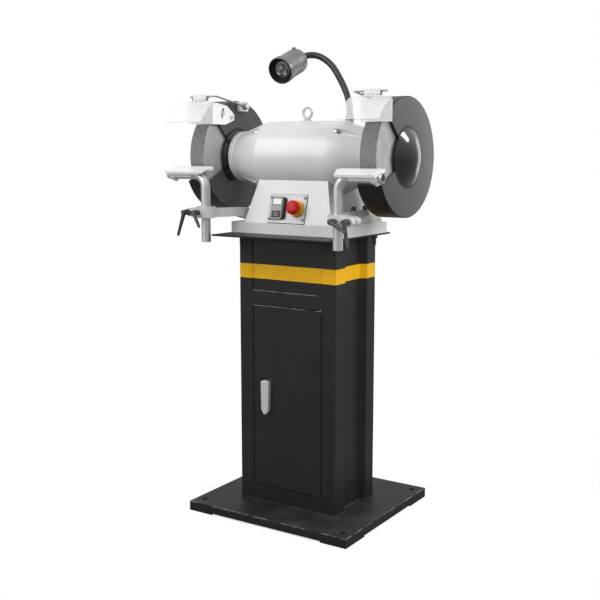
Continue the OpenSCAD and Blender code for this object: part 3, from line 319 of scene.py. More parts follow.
@dataclass(frozen=True)
class StandPaint(Paint):
    """The stand's black coat, with a yellow band round the column and painted highlights along two sheet
    edges.
    """

    band: Pair = (0.6835, 0.7245)
    yellow: RGB = (0.80, 0.43, 0.002)
    # Heights of the door's top edge and the upper panel's sill, and the pale grey painted along them as their
    # highlight.
    rubbed: Pair = (0.6067, 0.6493)
    bare: RGB = grey(0.28)
    door_half: float = 0.116
    front: float = -0.105

    def colours(self, bench: Bench) -> Any:
        """Black with painted highlights on the door's top edge and the upper panel's sill, and a yellow band
        between two heights.
        """
        plain = super().colours(bench)
        x, y, height = bench.axes()
        # Ragged painted highlight lines, kept to the front and between the door's sides.
        highlight_patches = bench.noise(9, 4, (3, 1, 1)).rise(0.30, 0.58)
        highlight_patches = highlight_patches * (1 - abs(x).rise(self.door_half - 0.5 * MM, self.door_half + 0.5 * MM))
        highlight_patches = highlight_patches * (1 - y.rise(self.front - 5 * MM, self.front + 5 * MM))
        # Paints each edge's highlight in pale grey.
        for level in self.rubbed:
            edge = 1 - abs(height - level).rise(0.5 * MM, 0.9 * MM)
            plain = bench.mix(edge * highlight_patches * 0.9, plain, self.bare)
        soft = 0.4 * MM
        ragged = height + (bench.noise(3) - 0.5) * (0.5 * MM)
        inside = ragged.rise(self.band[0] - soft, self.band[0] + soft) * (
            1 - ragged.rise(self.band[1] - soft, self.band[1] + soft)
        )
        worn = bench.noise(40, 5).rise(0.35, 0.75)
        band = bench.mix(worn, self.yellow, darker(self.yellow, 0.9))
        return bench.mix(inside, plain, band)


@dataclass(frozen=True)
class GuardPaint(Paint):
    """The guards' satin grey, glossy over the domes and the rim, where their dark reflections are painted in
    as near black.
    """

    dome: float = 0.083
    rim: float = 0.1580
    # Near black painted over the domes and the rim as their dark reflection.
    deep: RGB = grey(0.009)
    gloss: float = 0.16
    rim_dull: float = 0.42

    def sockets(self, bench: Bench) -> dict[str, Any]:
        """The shader's values."""
        _, y, z = bench.axes()
        away = (y - SPINDLE_Y) * (y - SPINDLE_Y) + (z - SPINDLE_Z) * (z - SPINDLE_Z)
        inner = 1 - away.rise((self.dome - 4 * MM) ** 2, (self.dome + 3 * MM) ** 2)
        outer = away.rise((self.rim - 0.6 * MM) ** 2, (self.rim + 0.6 * MM) ** 2)
        # Where the dark reflection is painted, and where the paint runs glossy.
        reflection_mask = inner.greater_of(outer)
        dull = bench.noise(25, 3) * 0.1 + (self.roughness - 0.05)
        return dict(
            Base_Color=bench.mix(reflection_mask, self.colours(bench), self.deep),
            Roughness=dull * (1 - reflection_mask) + inner * self.gloss + outer * self.rim_dull,
            Specular_IOR_Level=self.shine,
            Coat_Weight=inner * 0.5,
            Coat_Roughness=0.10,
            Normal=bench.bump(self.height(bench), self.peel),
        )


@dataclass(frozen=True)
class BasePaint(Paint):
    """The base plate's black coat, rubbed pale along its outer edges."""

    half: Pair = (0.265, 0.238)
    top: float = 0.028
    dust: RGB = grey(0.075)
    bare: RGB = grey(0.30)

    def colours(self, bench: Bench) -> Any:
        """Black with pale rubbed edges and dust on the top."""
        plain = super().colours(bench)
        x, y, z = bench.axes()
        outward = (abs(x) - self.half[0]).greater_of(abs(y) - self.half[1])
        edge = outward.rise(-3 * MM, -0.4 * MM) * z.rise(self.top - 3 * MM, self.top - 0.4 * MM)
        rubbed = edge * bench.noise(7, 4, (4, 4, 1)).rise(0.4, 0.62)
        dusty = z.rise(self.top - 1 * MM, self.top) * bench.noise(90, 5).rise(0.4, 0.8)
        dusted = bench.mix(dusty * 0.35, plain, self.dust)
        return bench.mix(rubbed * 0.55, dusted, self.bare)


@dataclass(frozen=True)
class CastPaint(Paint):
    """Thick enamel over a sand casting."""

    def height(self, bench: Bench) -> Wire:
        """Waves of the casting under the enamel's own peel."""
        waves = bench.noise(14, 2) * 0.55
        return waves + bench.noise(self.peel_size, 2) * 0.45


@dataclass(frozen=True)
class Metal(Finish):
    """Bare or plated metal with drawn-out marks."""

    colour: RGB
    roughness: float = 0.34
    metallic: float = 1.0
    stretch: RGB = (1, 1, 1)
    marks: float = 0.01
    mottle: float = 0.08

    def sockets(self, bench: Bench) -> dict[str, Any]:
        """The shader's values."""
        bloom = bench.noise(9, 4).rise(0.3, 0.7)
        lines = bench.noise(0.5, 3, self.stretch)
        colour = bench.mix(bloom, darker(self.colour, 1 - self.mottle), self.colour)
        return dict(
            Base_Color=colour,
            Metallic=self.metallic,
            Roughness=bench.noise(12, 4) * 0.16 + lines * 0.06 + (self.roughness - 0.11),
            Normal=bench.bump(lines, self.marks),
        )


@dataclass(frozen=True)
class Grit(Finish):
    """Bonded abrasive: a grey grain with pale and dark specks, and sides paler than the running face."""

    face: RGB = grey(0.185)
    side: RGB = grey(0.40)
    cloud: RGB = grey(0.06)
    dark: RGB = grey(0.05)
    pale: RGB = grey(0.70)
    inner: float = 0.2525
    outer: float = 0.3025

    def sockets(self, bench: Bench) -> dict[str, Any]:
        """The shader's values."""
        across = abs(bench.axes()[0])
        flank = across.rise(self.outer - 1.4 * MM, self.outer - 0.9 * MM).greater_of(
            1 - across.rise(self.inner + 0.9 * MM, self.inner + 1.4 * MM)
        )
        body = bench.mix(flank, self.face, self.side)
        clouds = bench.noise(35, 5).rise(0.25, 0.75)
        shaded = bench.mix(clouds * 0.22, body, self.cloud)
        fine = bench.noise(1.3, 2) * 0.5 + bench.noise(3.4, 3) * 0.5
        dark = bench.mix(fine.rise(0.50, 0.66) * 0.42, shaded, self.dark)
        pale = bench.mix((1 - fine.rise(0.34, 0.50)) * 0.30, dark, self.pale)
        pits = bench.cells(1.6)
        return dict(
            Base_Color=pale,
            Roughness=0.92,
            Normal=bench.bump(fine * 0.5 + pits * 0.5, 0.22),
        )


@dataclass(frozen=True)
class Plastic(Finish):
    """Moulded plastic with a fine spark-eroded grain."""

    colour: RGB
    roughness: float = 0.4
    grain: float = 0.012
    grain_size: float = 0.5
    coat: float = 0.0
    shine: float = 0.5

    def sockets(self, bench: Bench) -> dict[str, Any]:
        """The shader's values."""
        tone = bench.noise(18, 3).rise(0.3, 0.7)
        return dict(
            Base_Color=bench.mix(tone, darker(self.colour, 0.93), self.colour),
            Roughness=bench.noise(6, 2) * 0.1 + (self.roughness - 0.05),
            Coat_Weight=self.coat,
            Specular_IOR_Level=self.shine,
            Normal=bench.bump(bench.noise(self.grain_size, 2), self.grain),
        )


@dataclass(frozen=True)
class Clear(Finish):
    """Milky clear sheet with fine hairlines, and a faint painted glow that keeps it pale as if lit through.
    """

    haze: float = 0.5
    tint: RGB = grey(0.84)
    # Painted glow: the sheet gives off a little white light of its own.
    glow: float = 0.05

    def sockets(self, bench: Bench) -> dict[str, Any]:
        """The shader's values."""
        lines = bench.noise(1.2, 3, (1, 14, 14))
        haze = bench.noise(50, 3) * 0.08 + (self.haze - 0.04)
        return dict(
            Base_Color=self.tint,
            Roughness=lines * 0.06 + 0.25,
            Alpha=haze,
            Specular_IOR_Level=0.3,
            # Painted glow, so that the sheet stays pale under any light.
            Emission_Color=grey(1.0),
            Emission_Strength=self.glow,
            Normal=bench.bump(lines, 0.004),
        )


class Palette:
    """Every finish of the machine, made once and kept by name."""

    FINISHES = (
        StandPaint("stand_black", grey(0.0105), 0.42, 0.0, 0.022, 1.3, 0.12, 0.3),
        BasePaint("base_black", grey(0.014), 0.50, 0.0, 0.03, 1.4, 0.12, 0.15),
        StandPaint("panel_black", grey(0.010), 0.20, 0.0, 0.008, 2.6, 0.10, 0.5),
        Paint("plate_black", grey(0.012), 0.42, 0.0, 0.02, 1.6, 0.10, 0.2),
        CastPaint("casting_white", (0.66, 0.66, 0.655), 0.36, 0.12, 0.12, 2.2, 0.03),
        CastPaint("motor_white", (0.66, 0.66, 0.655), 0.30, 0.25, 0.04, 2.4, 0.02),
        CastPaint("arm_white", (0.56, 0.56, 0.555), 0.42, 0.1, 0.30, 2.6, 0.12),
        Paint("bracket_white", (0.95, 0.95, 0.945), 0.34, 0.2, 0.03, 1.8, 0.02),
        GuardPaint("guard_grey", grey(0.080), 0.38, 0.0, 0.010, 2.0, 0.04, 0.3),
        # The guard paint darkened: painted shade on the guards' shells, whose walls face the motor.
        GuardPaint("guard_inner", grey(0.062), 0.36, 0.0, 0.010, 2.0, 0.06, 0.3),
        Grit("wheel_grit"),
        Metal("tube_zinc", grey(0.58), 0.40, 0.80, (1, 1, 30)),
        Metal("table_bright", grey(0.90), 0.42, 0.30, (30, 1, 1)),
        Metal("bolt_zinc", (0.62, 0.62, 0.61), 0.38, 0.8),
        Metal("block_zinc", (0.78, 0.78, 0.77), 0.42, 0.35),
        Metal("rod_zinc", grey(0.30), 0.35, 0.7),
        Metal("eye_steel", grey(0.60), 0.48, 0.25),
        Metal("turned_steel", (0.56, 0.56, 0.57), 0.30, 1.0, (0.2, 8, 8)),
        Metal("dark_steel", grey(0.10), 0.42, 0.8),
        Metal("switch_plate_metal", (0.50, 0.50, 0.51), 0.50, 0.25, (30, 1, 1)),
        Metal("handle_chrome", grey(0.80), 0.30, 0.75),
        Metal("core_iron", (0.20, 0.17, 0.15), 0.6, 0.6, (0.15, 6, 6)),
        Plastic("red_plastic", (0.50, 0.006, 0.008), 0.42, shine=0.22),
        Plastic("yellow_plastic", (0.90, 0.42, 0.003), 0.40, shine=0.3),
        Plastic("white_plastic", (0.80, 0.80, 0.79), 0.30),
        Plastic("black_plastic", grey(0.010), 0.42, shine=0.35),
        Plastic("key_black", grey(0.016), 0.40, shine=0.35),
        Plastic("lever_grey", grey(0.030), 0.38),
        Plastic("clip_white", grey(0.74), 0.35),
        Plastic("housing_grey", grey(0.27), 0.40),
        Plastic("dome_grey", grey(0.22), 0.25),
        Plastic("neck_sleeve", grey(0.016), 0.42, 0.03, 0.8),
        Paint("lamp_black", grey(0.115), 0.36, 0.0, 0.004, 3.0, 0.04, 0.7),
        Plastic("lamp_rim", grey(0.004), 0.50, shine=0.15),
        Metal("lamp_disc", grey(0.20), 0.45, 0.2),
        Metal("lamp_cup", (0.30, 0.30, 0.31), 0.40, 0.5),
        Clear("shield_clear", 0.40),
    )

    def __init__(self) -> None:
        """Builds every finish."""
        self.made = {finish.name: finish.build() for finish in self.FINISHES}

    def __getitem__(self, name: str) -> bpy.types.Material:
        """The finish of that name."""
        return self.made[name]


class Hand:
    """Small acts of modelling, each on one piece."""

    @staticmethod
    def place(name: str, data: Any) -> Piece:
        """Adds an object with its data to the scene."""
        made = bpy.data.objects.new(name, data)
        bpy.context.scene.collection.objects.link(made)
        return made

    @staticmethod
    def only(piece: Piece) -> None:
        """Selects one piece and nothing else."""
        bpy.ops.object.select_all(action="DESELECT")
        piece.select_set(True)
        bpy.context.view_layer.objects.active = piece

    @staticmethod
    def new(name: str, points: Iterable[Sequence[float]], edges: Iterable[Sequence[int]] = (),
            faces: Iterable[Sequence[int]] = ()) -> Piece:
        """Makes a mesh piece from its points, edges and faces."""
        mesh = bpy.data.meshes.new(name)
        mesh.from_pydata([tuple(p) for p in points], list(edges), list(faces))
        mesh.update()
        return Hand.place(name, mesh)

    @staticmethod
    def edit(piece: Piece, work: Callable[[], None]) -> None:
        """Runs work in edit mode on a piece, with all of it selected."""
        Hand.only(piece)
        bpy.ops.object.mode_set(mode="EDIT")
        bpy.ops.mesh.select_all(action="SELECT")
        work()
        bpy.ops.object.mode_set(mode="OBJECT")

    @staticmethod
    def face_out() -> None:
        """Turns the selected faces outwards."""
        bpy.ops.mesh.normals_make_consistent(inside=False)

    @staticmethod
    def modify(piece: Piece, kind: str, **settings: Any) -> None:
        """Adds a modifier with its settings and applies it."""
        Hand.only(piece)
        modifier = piece.modifiers.new(kind.title(), kind)
        for name, value in settings.items():
            setattr(modifier, name, value)
        bpy.ops.object.modifier_apply(modifier=modifier.name)

    @staticmethod
    def smooth(piece: Piece, angle: float = 32.0) -> None:
        """Shades faces smooth that meet at less than an angle in degrees."""
        Hand.only(piece)
        bpy.ops.object.shade_smooth_by_angle(angle=math.radians(angle))

    @staticmethod
    def cut(piece: Piece, cutter: Piece) -> None:
        """Takes a cutter's volume out of a piece and removes the cutter."""
        Hand.modify(piece, "BOOLEAN", object=cutter, operation="DIFFERENCE", solver="EXACT")
        bpy.data.objects.remove(cutter)

    @staticmethod
    def prism(name: str, outline: Sequence[Pair], low: float, high: float,
              place: Matrix | None = None) -> Piece:
        """Raises an outline in XY from one height to another.

        Args:
            name: The piece's name.
            outline: Its corners in order.
            low: Height of its lower face.
            high: Height of its upper face.
            place: Where the finished piece goes.

        Returns:
            The closed piece.
        """
        count = len(outline)
        points = [(x, y, z) for z in (low, high) for x, y in outline]
        walls = [(i, (i + 1) % count, (i + 1) % count + count, i + count) for i in range(count)]
        piece = Hand.new(name, points, (), [tuple(range(count)), tuple(range(count, 2 * count)), *walls])
        if place is not None:
            piece.data.transform(place)
        Hand.edit(piece, Hand.face_out)
        return piece

    @staticmethod
    def block(name: str, low: Sequence[float], high: Sequence[float],
              place: Matrix | None = None) -> Piece:
        """A box between two corners, set in its place."""
        (x0, y0, z0), (x1, y1, z1) = low, high
        return Hand.prism(name, [(x0, y0), (x1, y0), (x1, y1), (x0, y1)], z0, z1, place)

    @staticmethod
    def finish(piece: Piece, width: float, segments: int = 3, angle: float = 30.0) -> None:
        """Rounds a piece's edges and shades it so that broad faces keep their own direction.

        Args:
            piece: The piece.
            width: Width of the rounding, in millimetres.
            segments: Faces across the rounding.
            angle: Edges that turn by more than this are rounded, in degrees.
        """
        Hand.modify(
            piece, "BEVEL", width=width * MM, segments=segments, limit_method="ANGLE",
            angle_limit=math.radians(angle), use_clamp_overlap=True, miter_outer="MITER_ARC",
        )
        Hand.smooth(piece)
        Hand.modify(piece, "WEIGHTED_NORMAL", mode="FACE_AREA", weight=60, keep_sharp=True)

    @staticmethod
    def curve(points: Sequence[Pair], steps: int = 4) -> list[Pair]:
        """A smooth line through the points, with steps parts between two of them."""
        line = []
        padded = [points[0], *points, points[-1]]
        for a, b, c, d in zip(padded, padded[1:], padded[2:], padded[3:]):
            for i in range(steps):
                t = i / steps
                line.append(tuple(
                    0.5 * (2 * q + (r - p) * t + (2 * p - 5 * q + 4 * r - u) * t * t
                           + (3 * q - p - 3 * r + u) * t ** 3)
                    for p, q, r, u in zip(a, b, c, d)
                ))
        return line + [tuple(points[-1])]

    @staticmethod
    def spin(name: str, profile: Sequence[Pair], steps: int,
             place: Matrix | None = None, angle: float | None = 40.0) -> Piece:
        """Turns a profile of (radius, height) round Z into a closed skin.

        Args:
            name: The piece's name.
            profile: Its points, from one end of the axis to the other.
            steps: Faces round the axis.
            place: Where the finished piece goes.
            angle: Faces that meet at less than this many degrees are shaded smooth.

        Returns:
            The piece.
        """
        points = [(radius, 0.0, height) for radius, height in profile]
        piece = Hand.new(name, points, [(i, i + 1) for i in range(len(points) - 1)])

        def turn() -> None:
            """Spins the line and closes the seam and the poles."""
            bpy.ops.mesh.spin(steps=steps, angle=math.tau, center=(0, 0, 0), axis=(0, 0, 1))
            bpy.ops.mesh.select_all(action="SELECT")
            bpy.ops.mesh.remove_doubles(threshold=1e-6)
            Hand.face_out()

        Hand.edit(piece, turn)
        if place is not None:
            piece.data.transform(place)
        if angle is not None:
            Hand.smooth(piece, angle)
        return piece

    @staticmethod
    def rod(name: str, path: Sequence[Sequence[float]], radii: Sequence[float], sides: int = 4,
            closed: bool = False) -> Piece:
        """Sweeps a round section along a path and shades it smooth.

        Args:
            name: The piece's name.
            path: Points of the path.
            radii: The section's radius at each point.
            sides: Bevel resolution of the section.
            closed: Whether the path is a loop.

        Returns:
            The swept piece as a mesh.
        """
        curve = bpy.data.curves.new(name, "CURVE")
        curve.dimensions = "3D"
        curve.bevel_depth = 1.0
        curve.bevel_resolution = sides
        curve.use_fill_caps = not closed
        line = curve.splines.new("POLY")
        line.points.add(len(path) - 1)
        for point, place, radius in zip(line.points, path, radii):
            point.co = (*place, 1.0)
            point.radius = radius
        line.use_cyclic_u = closed
        Hand.only(Hand.place(name, curve))
        bpy.ops.object.convert(target="MESH")
        piece = bpy.context.object
        Hand.edit(piece, Hand.face_out)
        Hand.smooth(piece, 60)
        return piece


class Machine:
    """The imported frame, its finishes, and the calls that dress one node or add one piece."""

    def __init__(self, frame: dict[str, Any], palette: Palette) -> None:
        """Notes which body each node belongs to."""
        self.nodes = frame["nodes"]
        self.palette = palette
        record = frame["record"]
        self.body_of = {
            node: body for body, members in record["behaviour"]["bodies"].items() for node in members
        }
        self.slot_of = {row["node"]: row["material_slot"] for row in record["subparts"]}

    def paint(self, finish: str, *nodes: str) -> None:
        """Gives CAD nodes a finish and leaves their shape."""
        for node in nodes:
            self._coat(self.nodes[node], finish)

    def _coat(self, piece: Piece, finish: str) -> None:
        """Makes a finish the only material of a piece."""
        piece.data.materials.clear()
        piece.data.materials.append(self.palette[finish])

    def copy(self, node: str, whole: bool = True) -> Piece:
        """A merged copy of a CAD node, with its flat faces whole unless holes pierce them."""
        piece = Hand.place(f"{node}_shell", self.nodes[node].data.copy())

        def merge() -> None:
            """Joins the loose triangles into whole faces."""
            bpy.ops.mesh.remove_doubles(threshold=0.02 * MM)
            if whole:
                bpy.ops.mesh.dissolve_limited(angle_limit=math.radians(0.4))

        Hand.edit(piece, merge)
        Hand.only(piece)
        bpy.ops.mesh.customdata_custom_splitnormals_clear()
        return piece

    def soften(self, node: str, finish: str, width: float, segments: int = 3,
               angle: float = 30.0, whole: bool = True) -> Piece:
        """Puts a copy with rounded edges in a CAD node's place.

        Args:
            node: The CAD node.
            finish: The copy's finish.
            width: Width of the rounding, in millimetres.
            segments: Faces across the rounding.
            angle: Edges that turn by more than this are rounded, in degrees.
            whole: Whether the flat faces are joined first.

        Returns:
            The copy.
        """
        piece = self.copy(node, whole)
        Hand.finish(piece, width, segments, angle)
        return self.stand_in(piece, node, finish)

    def stand_in(self, piece: Piece, node: str, finish: str) -> Piece:
        """Lets a finished piece take a CAD node's place on the same body."""
        self._coat(piece, finish)
        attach(piece, self.body_of[node])
        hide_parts(node)
        return piece

    def add(self, piece: Piece, beside: str, finish: str) -> Piece:
        """Adds a piece that rides with a CAD node."""
        self._coat(piece, finish)
        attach(piece, self.body_of[beside])
        return piece


@dataclass
class Stand:
    """Base plate, column, door and top plate."""

    width: float = 0.320
    front: float = -0.1215
    back: float = 0.0965
    flute: float = 0.017
    flange_front: float = 0.050
    flange_rear: float = 0.046
    slope: float = 0.012
    foot: float = 0.028
    ripple: float = 3.2 * MM

    def outline(self, out: float) -> list[Pair]:
        """Plan of the column, moved outwards."""
        half = self.width / 2 + out
        inner = half - self.flute
        right = [
            (half, self.front - out), (half, self.front + self.flange_front + out),
            (inner, self.front + self.flange_front + self.slope + out),
            (inner, self.back - self.flange_rear - self.slope - out),
            (half, self.back - self.flange_rear - out), (half, self.back + out),
        ]
        return right + [(-x, y) for x, y in reversed(right)]

    def weld(self) -> Piece:
        """Uneven weld bead round the column's foot."""
        chance = random.Random(11)
        stray = 0.4 * MM
        corners = self.outline(0.8 * MM)
        path: list[tuple[float, float, float]] = []
        radii: list[float] = []
        for start, end in zip(corners, corners[1:] + corners[:1]):
            count = max(1, round(math.dist(start, end) / self.ripple))
            for i in range(count):
                t = i / count
                wave = math.sin(len(path) * 1.7) * 0.3 * MM
                path.append((
                    start[0] + (end[0] - start[0]) * t + chance.uniform(-stray, stray),
                    start[1] + (end[1] - start[1]) * t + chance.uniform(-stray, stray),
                    self.foot + 0.5 * MM + wave,
                ))
                radii.append((2.6 + chance.uniform(-0.5, 0.7)) * MM)
        return Hand.rod("column_weld", path, radii, 3, closed=True)

    def build(self, machine: Machine) -> None:
        """Dresses the stand."""
        machine.soften("base_plate", "base_black", 1.6)
        machine.soften("column", "stand_black", 1.1, whole=False)
        machine.soften("upper_panel", "panel_black", 0.6, 2, whole=False)
        machine.soften("door", "stand_black", 0.9)
        machine.soften("top_plate", "plate_black", 0.8, whole=False)
        machine.add(self.weld(), "column", "base_black")
        machine.paint("bolt_zinc", "hinge_pins", "latch_cam")
        machine.soften("stand_bolts", "dark_steel", 0.5, 2)
        machine.soften("door_handle", "handle_chrome", 2.2, 4)


@dataclass
class Casting:
    """Plinth and pedestal with the switches on its leaning face."""

    front: float = -0.1206
    foot: float = 0.8416
    lean: float = math.atan(32.5 / 123.4)
    plate: Box = (-0.064, 0.0015, 0.057, 0.0815)
    keys: Pair = (0.060, 0.025)
    key_x: float = -0.034
    key: Pair = (0.027, 0.017)
    housing: tuple[float, float, float] = (0.0185, 0.0105, 0.0745)
    plate_top: float = 3.05 * MM
    proud: float = 0.011
    mushroom: Pair = (0.0285, 0.0425)
    grip_r: float = 12.5 * MM
    grip: float = 1.6 * MM

    @property
    def face(self) -> Matrix:
        """The leaning face: X across, Z up the face and Y into it."""
        return Matrix.Translation((0, self.front, self.foot)) @ Matrix.Rotation(-self.lean, 4, "X")

    def on_face(self, name: str, box: Box, near: float, far: float) -> Any:
        """A block on the leaning face.

        Args:
            name: The piece's name.
            box: Its lowest x and height up the face, then the highest of both.
            near: Where it starts, out from the face.
            far: Where it ends.

        Returns:
            The block in its place.
        """
        x0, s0, x1, s1 = box
        return Hand.block(name, (x0, -far, s0), (x1, -near, s1), self.face)

    def window(self, height: float, room: float) -> Box:
        """A key's outline with some room round it."""
        half_w, half_h = self.key[0] / 2 + room, self.key[1] / 2 + room
        return (self.key_x - half_w, height - half_h, self.key_x + half_w, height + half_h)

    def switches(self, machine: Machine) -> None:
        """Black frame round the plate as a painted shadow of its gap, the switch block and its two keys."""
        x0, s0, x1, s1 = self.plate
        # A black frame just wider than the plate paints the shadow in the gap round it.
        rim = 1.3 * MM
        shadow_frame = self.on_face("plate_gasket", (x0 - rim, s0 - rim, x1 + rim, s1 + rim), 0.1 * MM, 1.3 * MM)
        Hand.finish(shadow_frame, 0.4, 2)
        machine.add(shadow_frame, "switch_plate", "black_plastic")
        half, low, high = self.housing
        for name, finish, edge, near, far in (
            ("switch_housing", "black_plastic", 0.0, self.plate_top, self.proud - 2 * MM),
            ("switch_bezel", "housing_grey", 1.1 * MM, self.proud - 1.95 * MM, self.proud - 1.2 * MM),
        ):
            box = (self.key_x - half + edge, low + edge, self.key_x + half - edge, high - edge)
            frame = self.on_face(name, box, near, far)
            for height in self.keys:
                Hand.cut(frame, self.on_face("window", self.window(height, 0.7 * MM), 0.0, 0.03))
            Hand.finish(frame, 0.35, 2)
            machine.add(frame, "switch_plate", finish)
        for node, height, finish in (
            ("start_button", self.keys[0], "white_plastic"), ("stop_button", self.keys[1], "key_black"),
        ):
            cap = self.on_face(f"{node}_cap", self.window(height, 0.0), -0.0105, self.proud)
            Hand.finish(cap, 1.3, 4)
            machine.stand_in(cap, node, finish)
        edge = self.key_x + half + 0.2 * MM
        inset = 2 * MM
        bar = self.on_face("switch_bar", (edge, low + inset, edge + 8.5 * MM, high - inset), self.plate_top,
                           self.proud + 1 * MM)
        Hand.finish(bar, 3.6, 5)
        machine.add(bar, "switch_plate", "black_plastic")
        ring = Hand.spin("stop_ring", metres([(3.6, 0), (5.2, 0), (5.2, 0.4), (3.6, 0.4), (3.6, 0)]), 32,
                         self.facing(self.key_x, self.keys[1], self.proud))
        machine.add(ring, "stop_button", "housing_grey")

    def facing(self, x: float, up: float, out: float) -> Matrix:
        """A place on the leaning face whose Z points outwards."""
        return self.face @ Matrix.Translation((x, -out, up)) @ Matrix.Rotation(math.pi / 2, 4, "X")

    def grips(self, machine: Machine) -> None:
        """Three raised arcs on the mushroom's face, for fingers."""
        button = machine.nodes["estop_button"]
        stand = self.facing(*self.mushroom, 0.0)
        back = stand.inverted()
        level = max((back @ vertex.co).z for vertex in button.data.vertices) - self.grip
        steps = 12
        for number in range(3):
            path = []
            radii = []
            for i in range(steps + 1):
                turn = math.radians(120 * number + 78 * i / steps)
                path.append(stand @ Vector((*polar(self.grip_r, turn), level)))
                radii.append(self.grip * (0.55 + 0.45 * math.sin(math.pi * i / steps)))
            machine.add(Hand.rod(f"grip_{number}", path, radii, 3), "estop_button", "red_plastic")

    def build(self, machine: Machine) -> None:
        """Dresses the casting and the switches."""
        machine.soften("cast_base", "casting_white", 2.0, whole=False)
        machine.soften("cable_gland", "black_plastic", 0.6, 2)
        machine.soften("switch_plate", "switch_plate_metal", 0.5, 2, whole=False)
        machine.paint("black_plastic", "switch_body")
        self.switches(machine)
        self.grips(machine)
        machine.soften("estop_ring", "yellow_plastic", 0.8)
        machine.soften("estop_button", "red_plastic", 1.0)
        machine.soften("panel_screws", "dark_steel", 0.4, 2)


@dataclass
class Motor:
    """Housing, end bells and what turns inside."""

    eye_foot: float = 1.1244
    eye_middle: float = 1.1459
    eye_ring: float = 14 * MM
    eye_wire: float = 4.1 * MM

    def eye(self, machine: Machine) -> None:
        """Forged lifting eye on its collar."""
        steps = 64
        turns = [math.tau * i / steps for i in range(steps)]
        ring = [(self.eye_ring * math.cos(turn), SPINDLE_Y, self.eye_middle + self.eye_ring * math.sin(turn))
                for turn in turns]
        radii = [self.eye_wire * (1 - 0.10 * math.sin(turn)) for turn in turns]
        loop = Hand.rod("lifting_ring", ring, radii, 6, closed=True)
        machine.stand_in(loop, "eye_bolt", "eye_steel")
        profile = [(0, -14), (5, -14), (5, 0), (10.2, 0), (11, 0.8), (11, 3.2), (10.2, 4), (8.6, 4.4),
                   (6.4, 6.5), (5.2, 9.5), (4.6, 12), (0, 12)]
        collar = Hand.spin("lifting_collar", metres(profile), 48,
                           Matrix.Translation((0, SPINDLE_Y, self.eye_foot)))
        machine.add(collar, "eye_bolt", "eye_steel")

    def lip(self, machine: Machine, side: Side) -> None:
        """Raised ring round the small end of an end bell."""
        section = [(69.4, 208.6), (71.2, 208.9), (71.9, 210), (71.9, 223), (71.3, 225.6), (69.6, 227.8),
                   (66.6, 229.3), (66, 228.4), (68.8, 222), (69.4, 208.6)]
        ring = Hand.spin(f"bell_lip_{side.word}", metres(section), 128, side.shaft())
        machine.add(ring, f"end_bell_{side.word}", "motor_white")

    def build(self, machine: Machine) -> None:
        """Dresses the motor."""
        machine.soften("motor_housing", "motor_white", 0.8)
        for side in Side:
            machine.soften(f"end_bell_{side.word}", "motor_white", 1.2)
            self.lip(machine, side)
        machine.soften("bell_screws", "bolt_zinc", 0.5, 2)
        machine.paint("core_iron", "stator", "rotor")
        machine.paint("turned_steel", "bearings", "spindle", "wheel_flanges", "spindle_nuts")
        self.eye(machine)


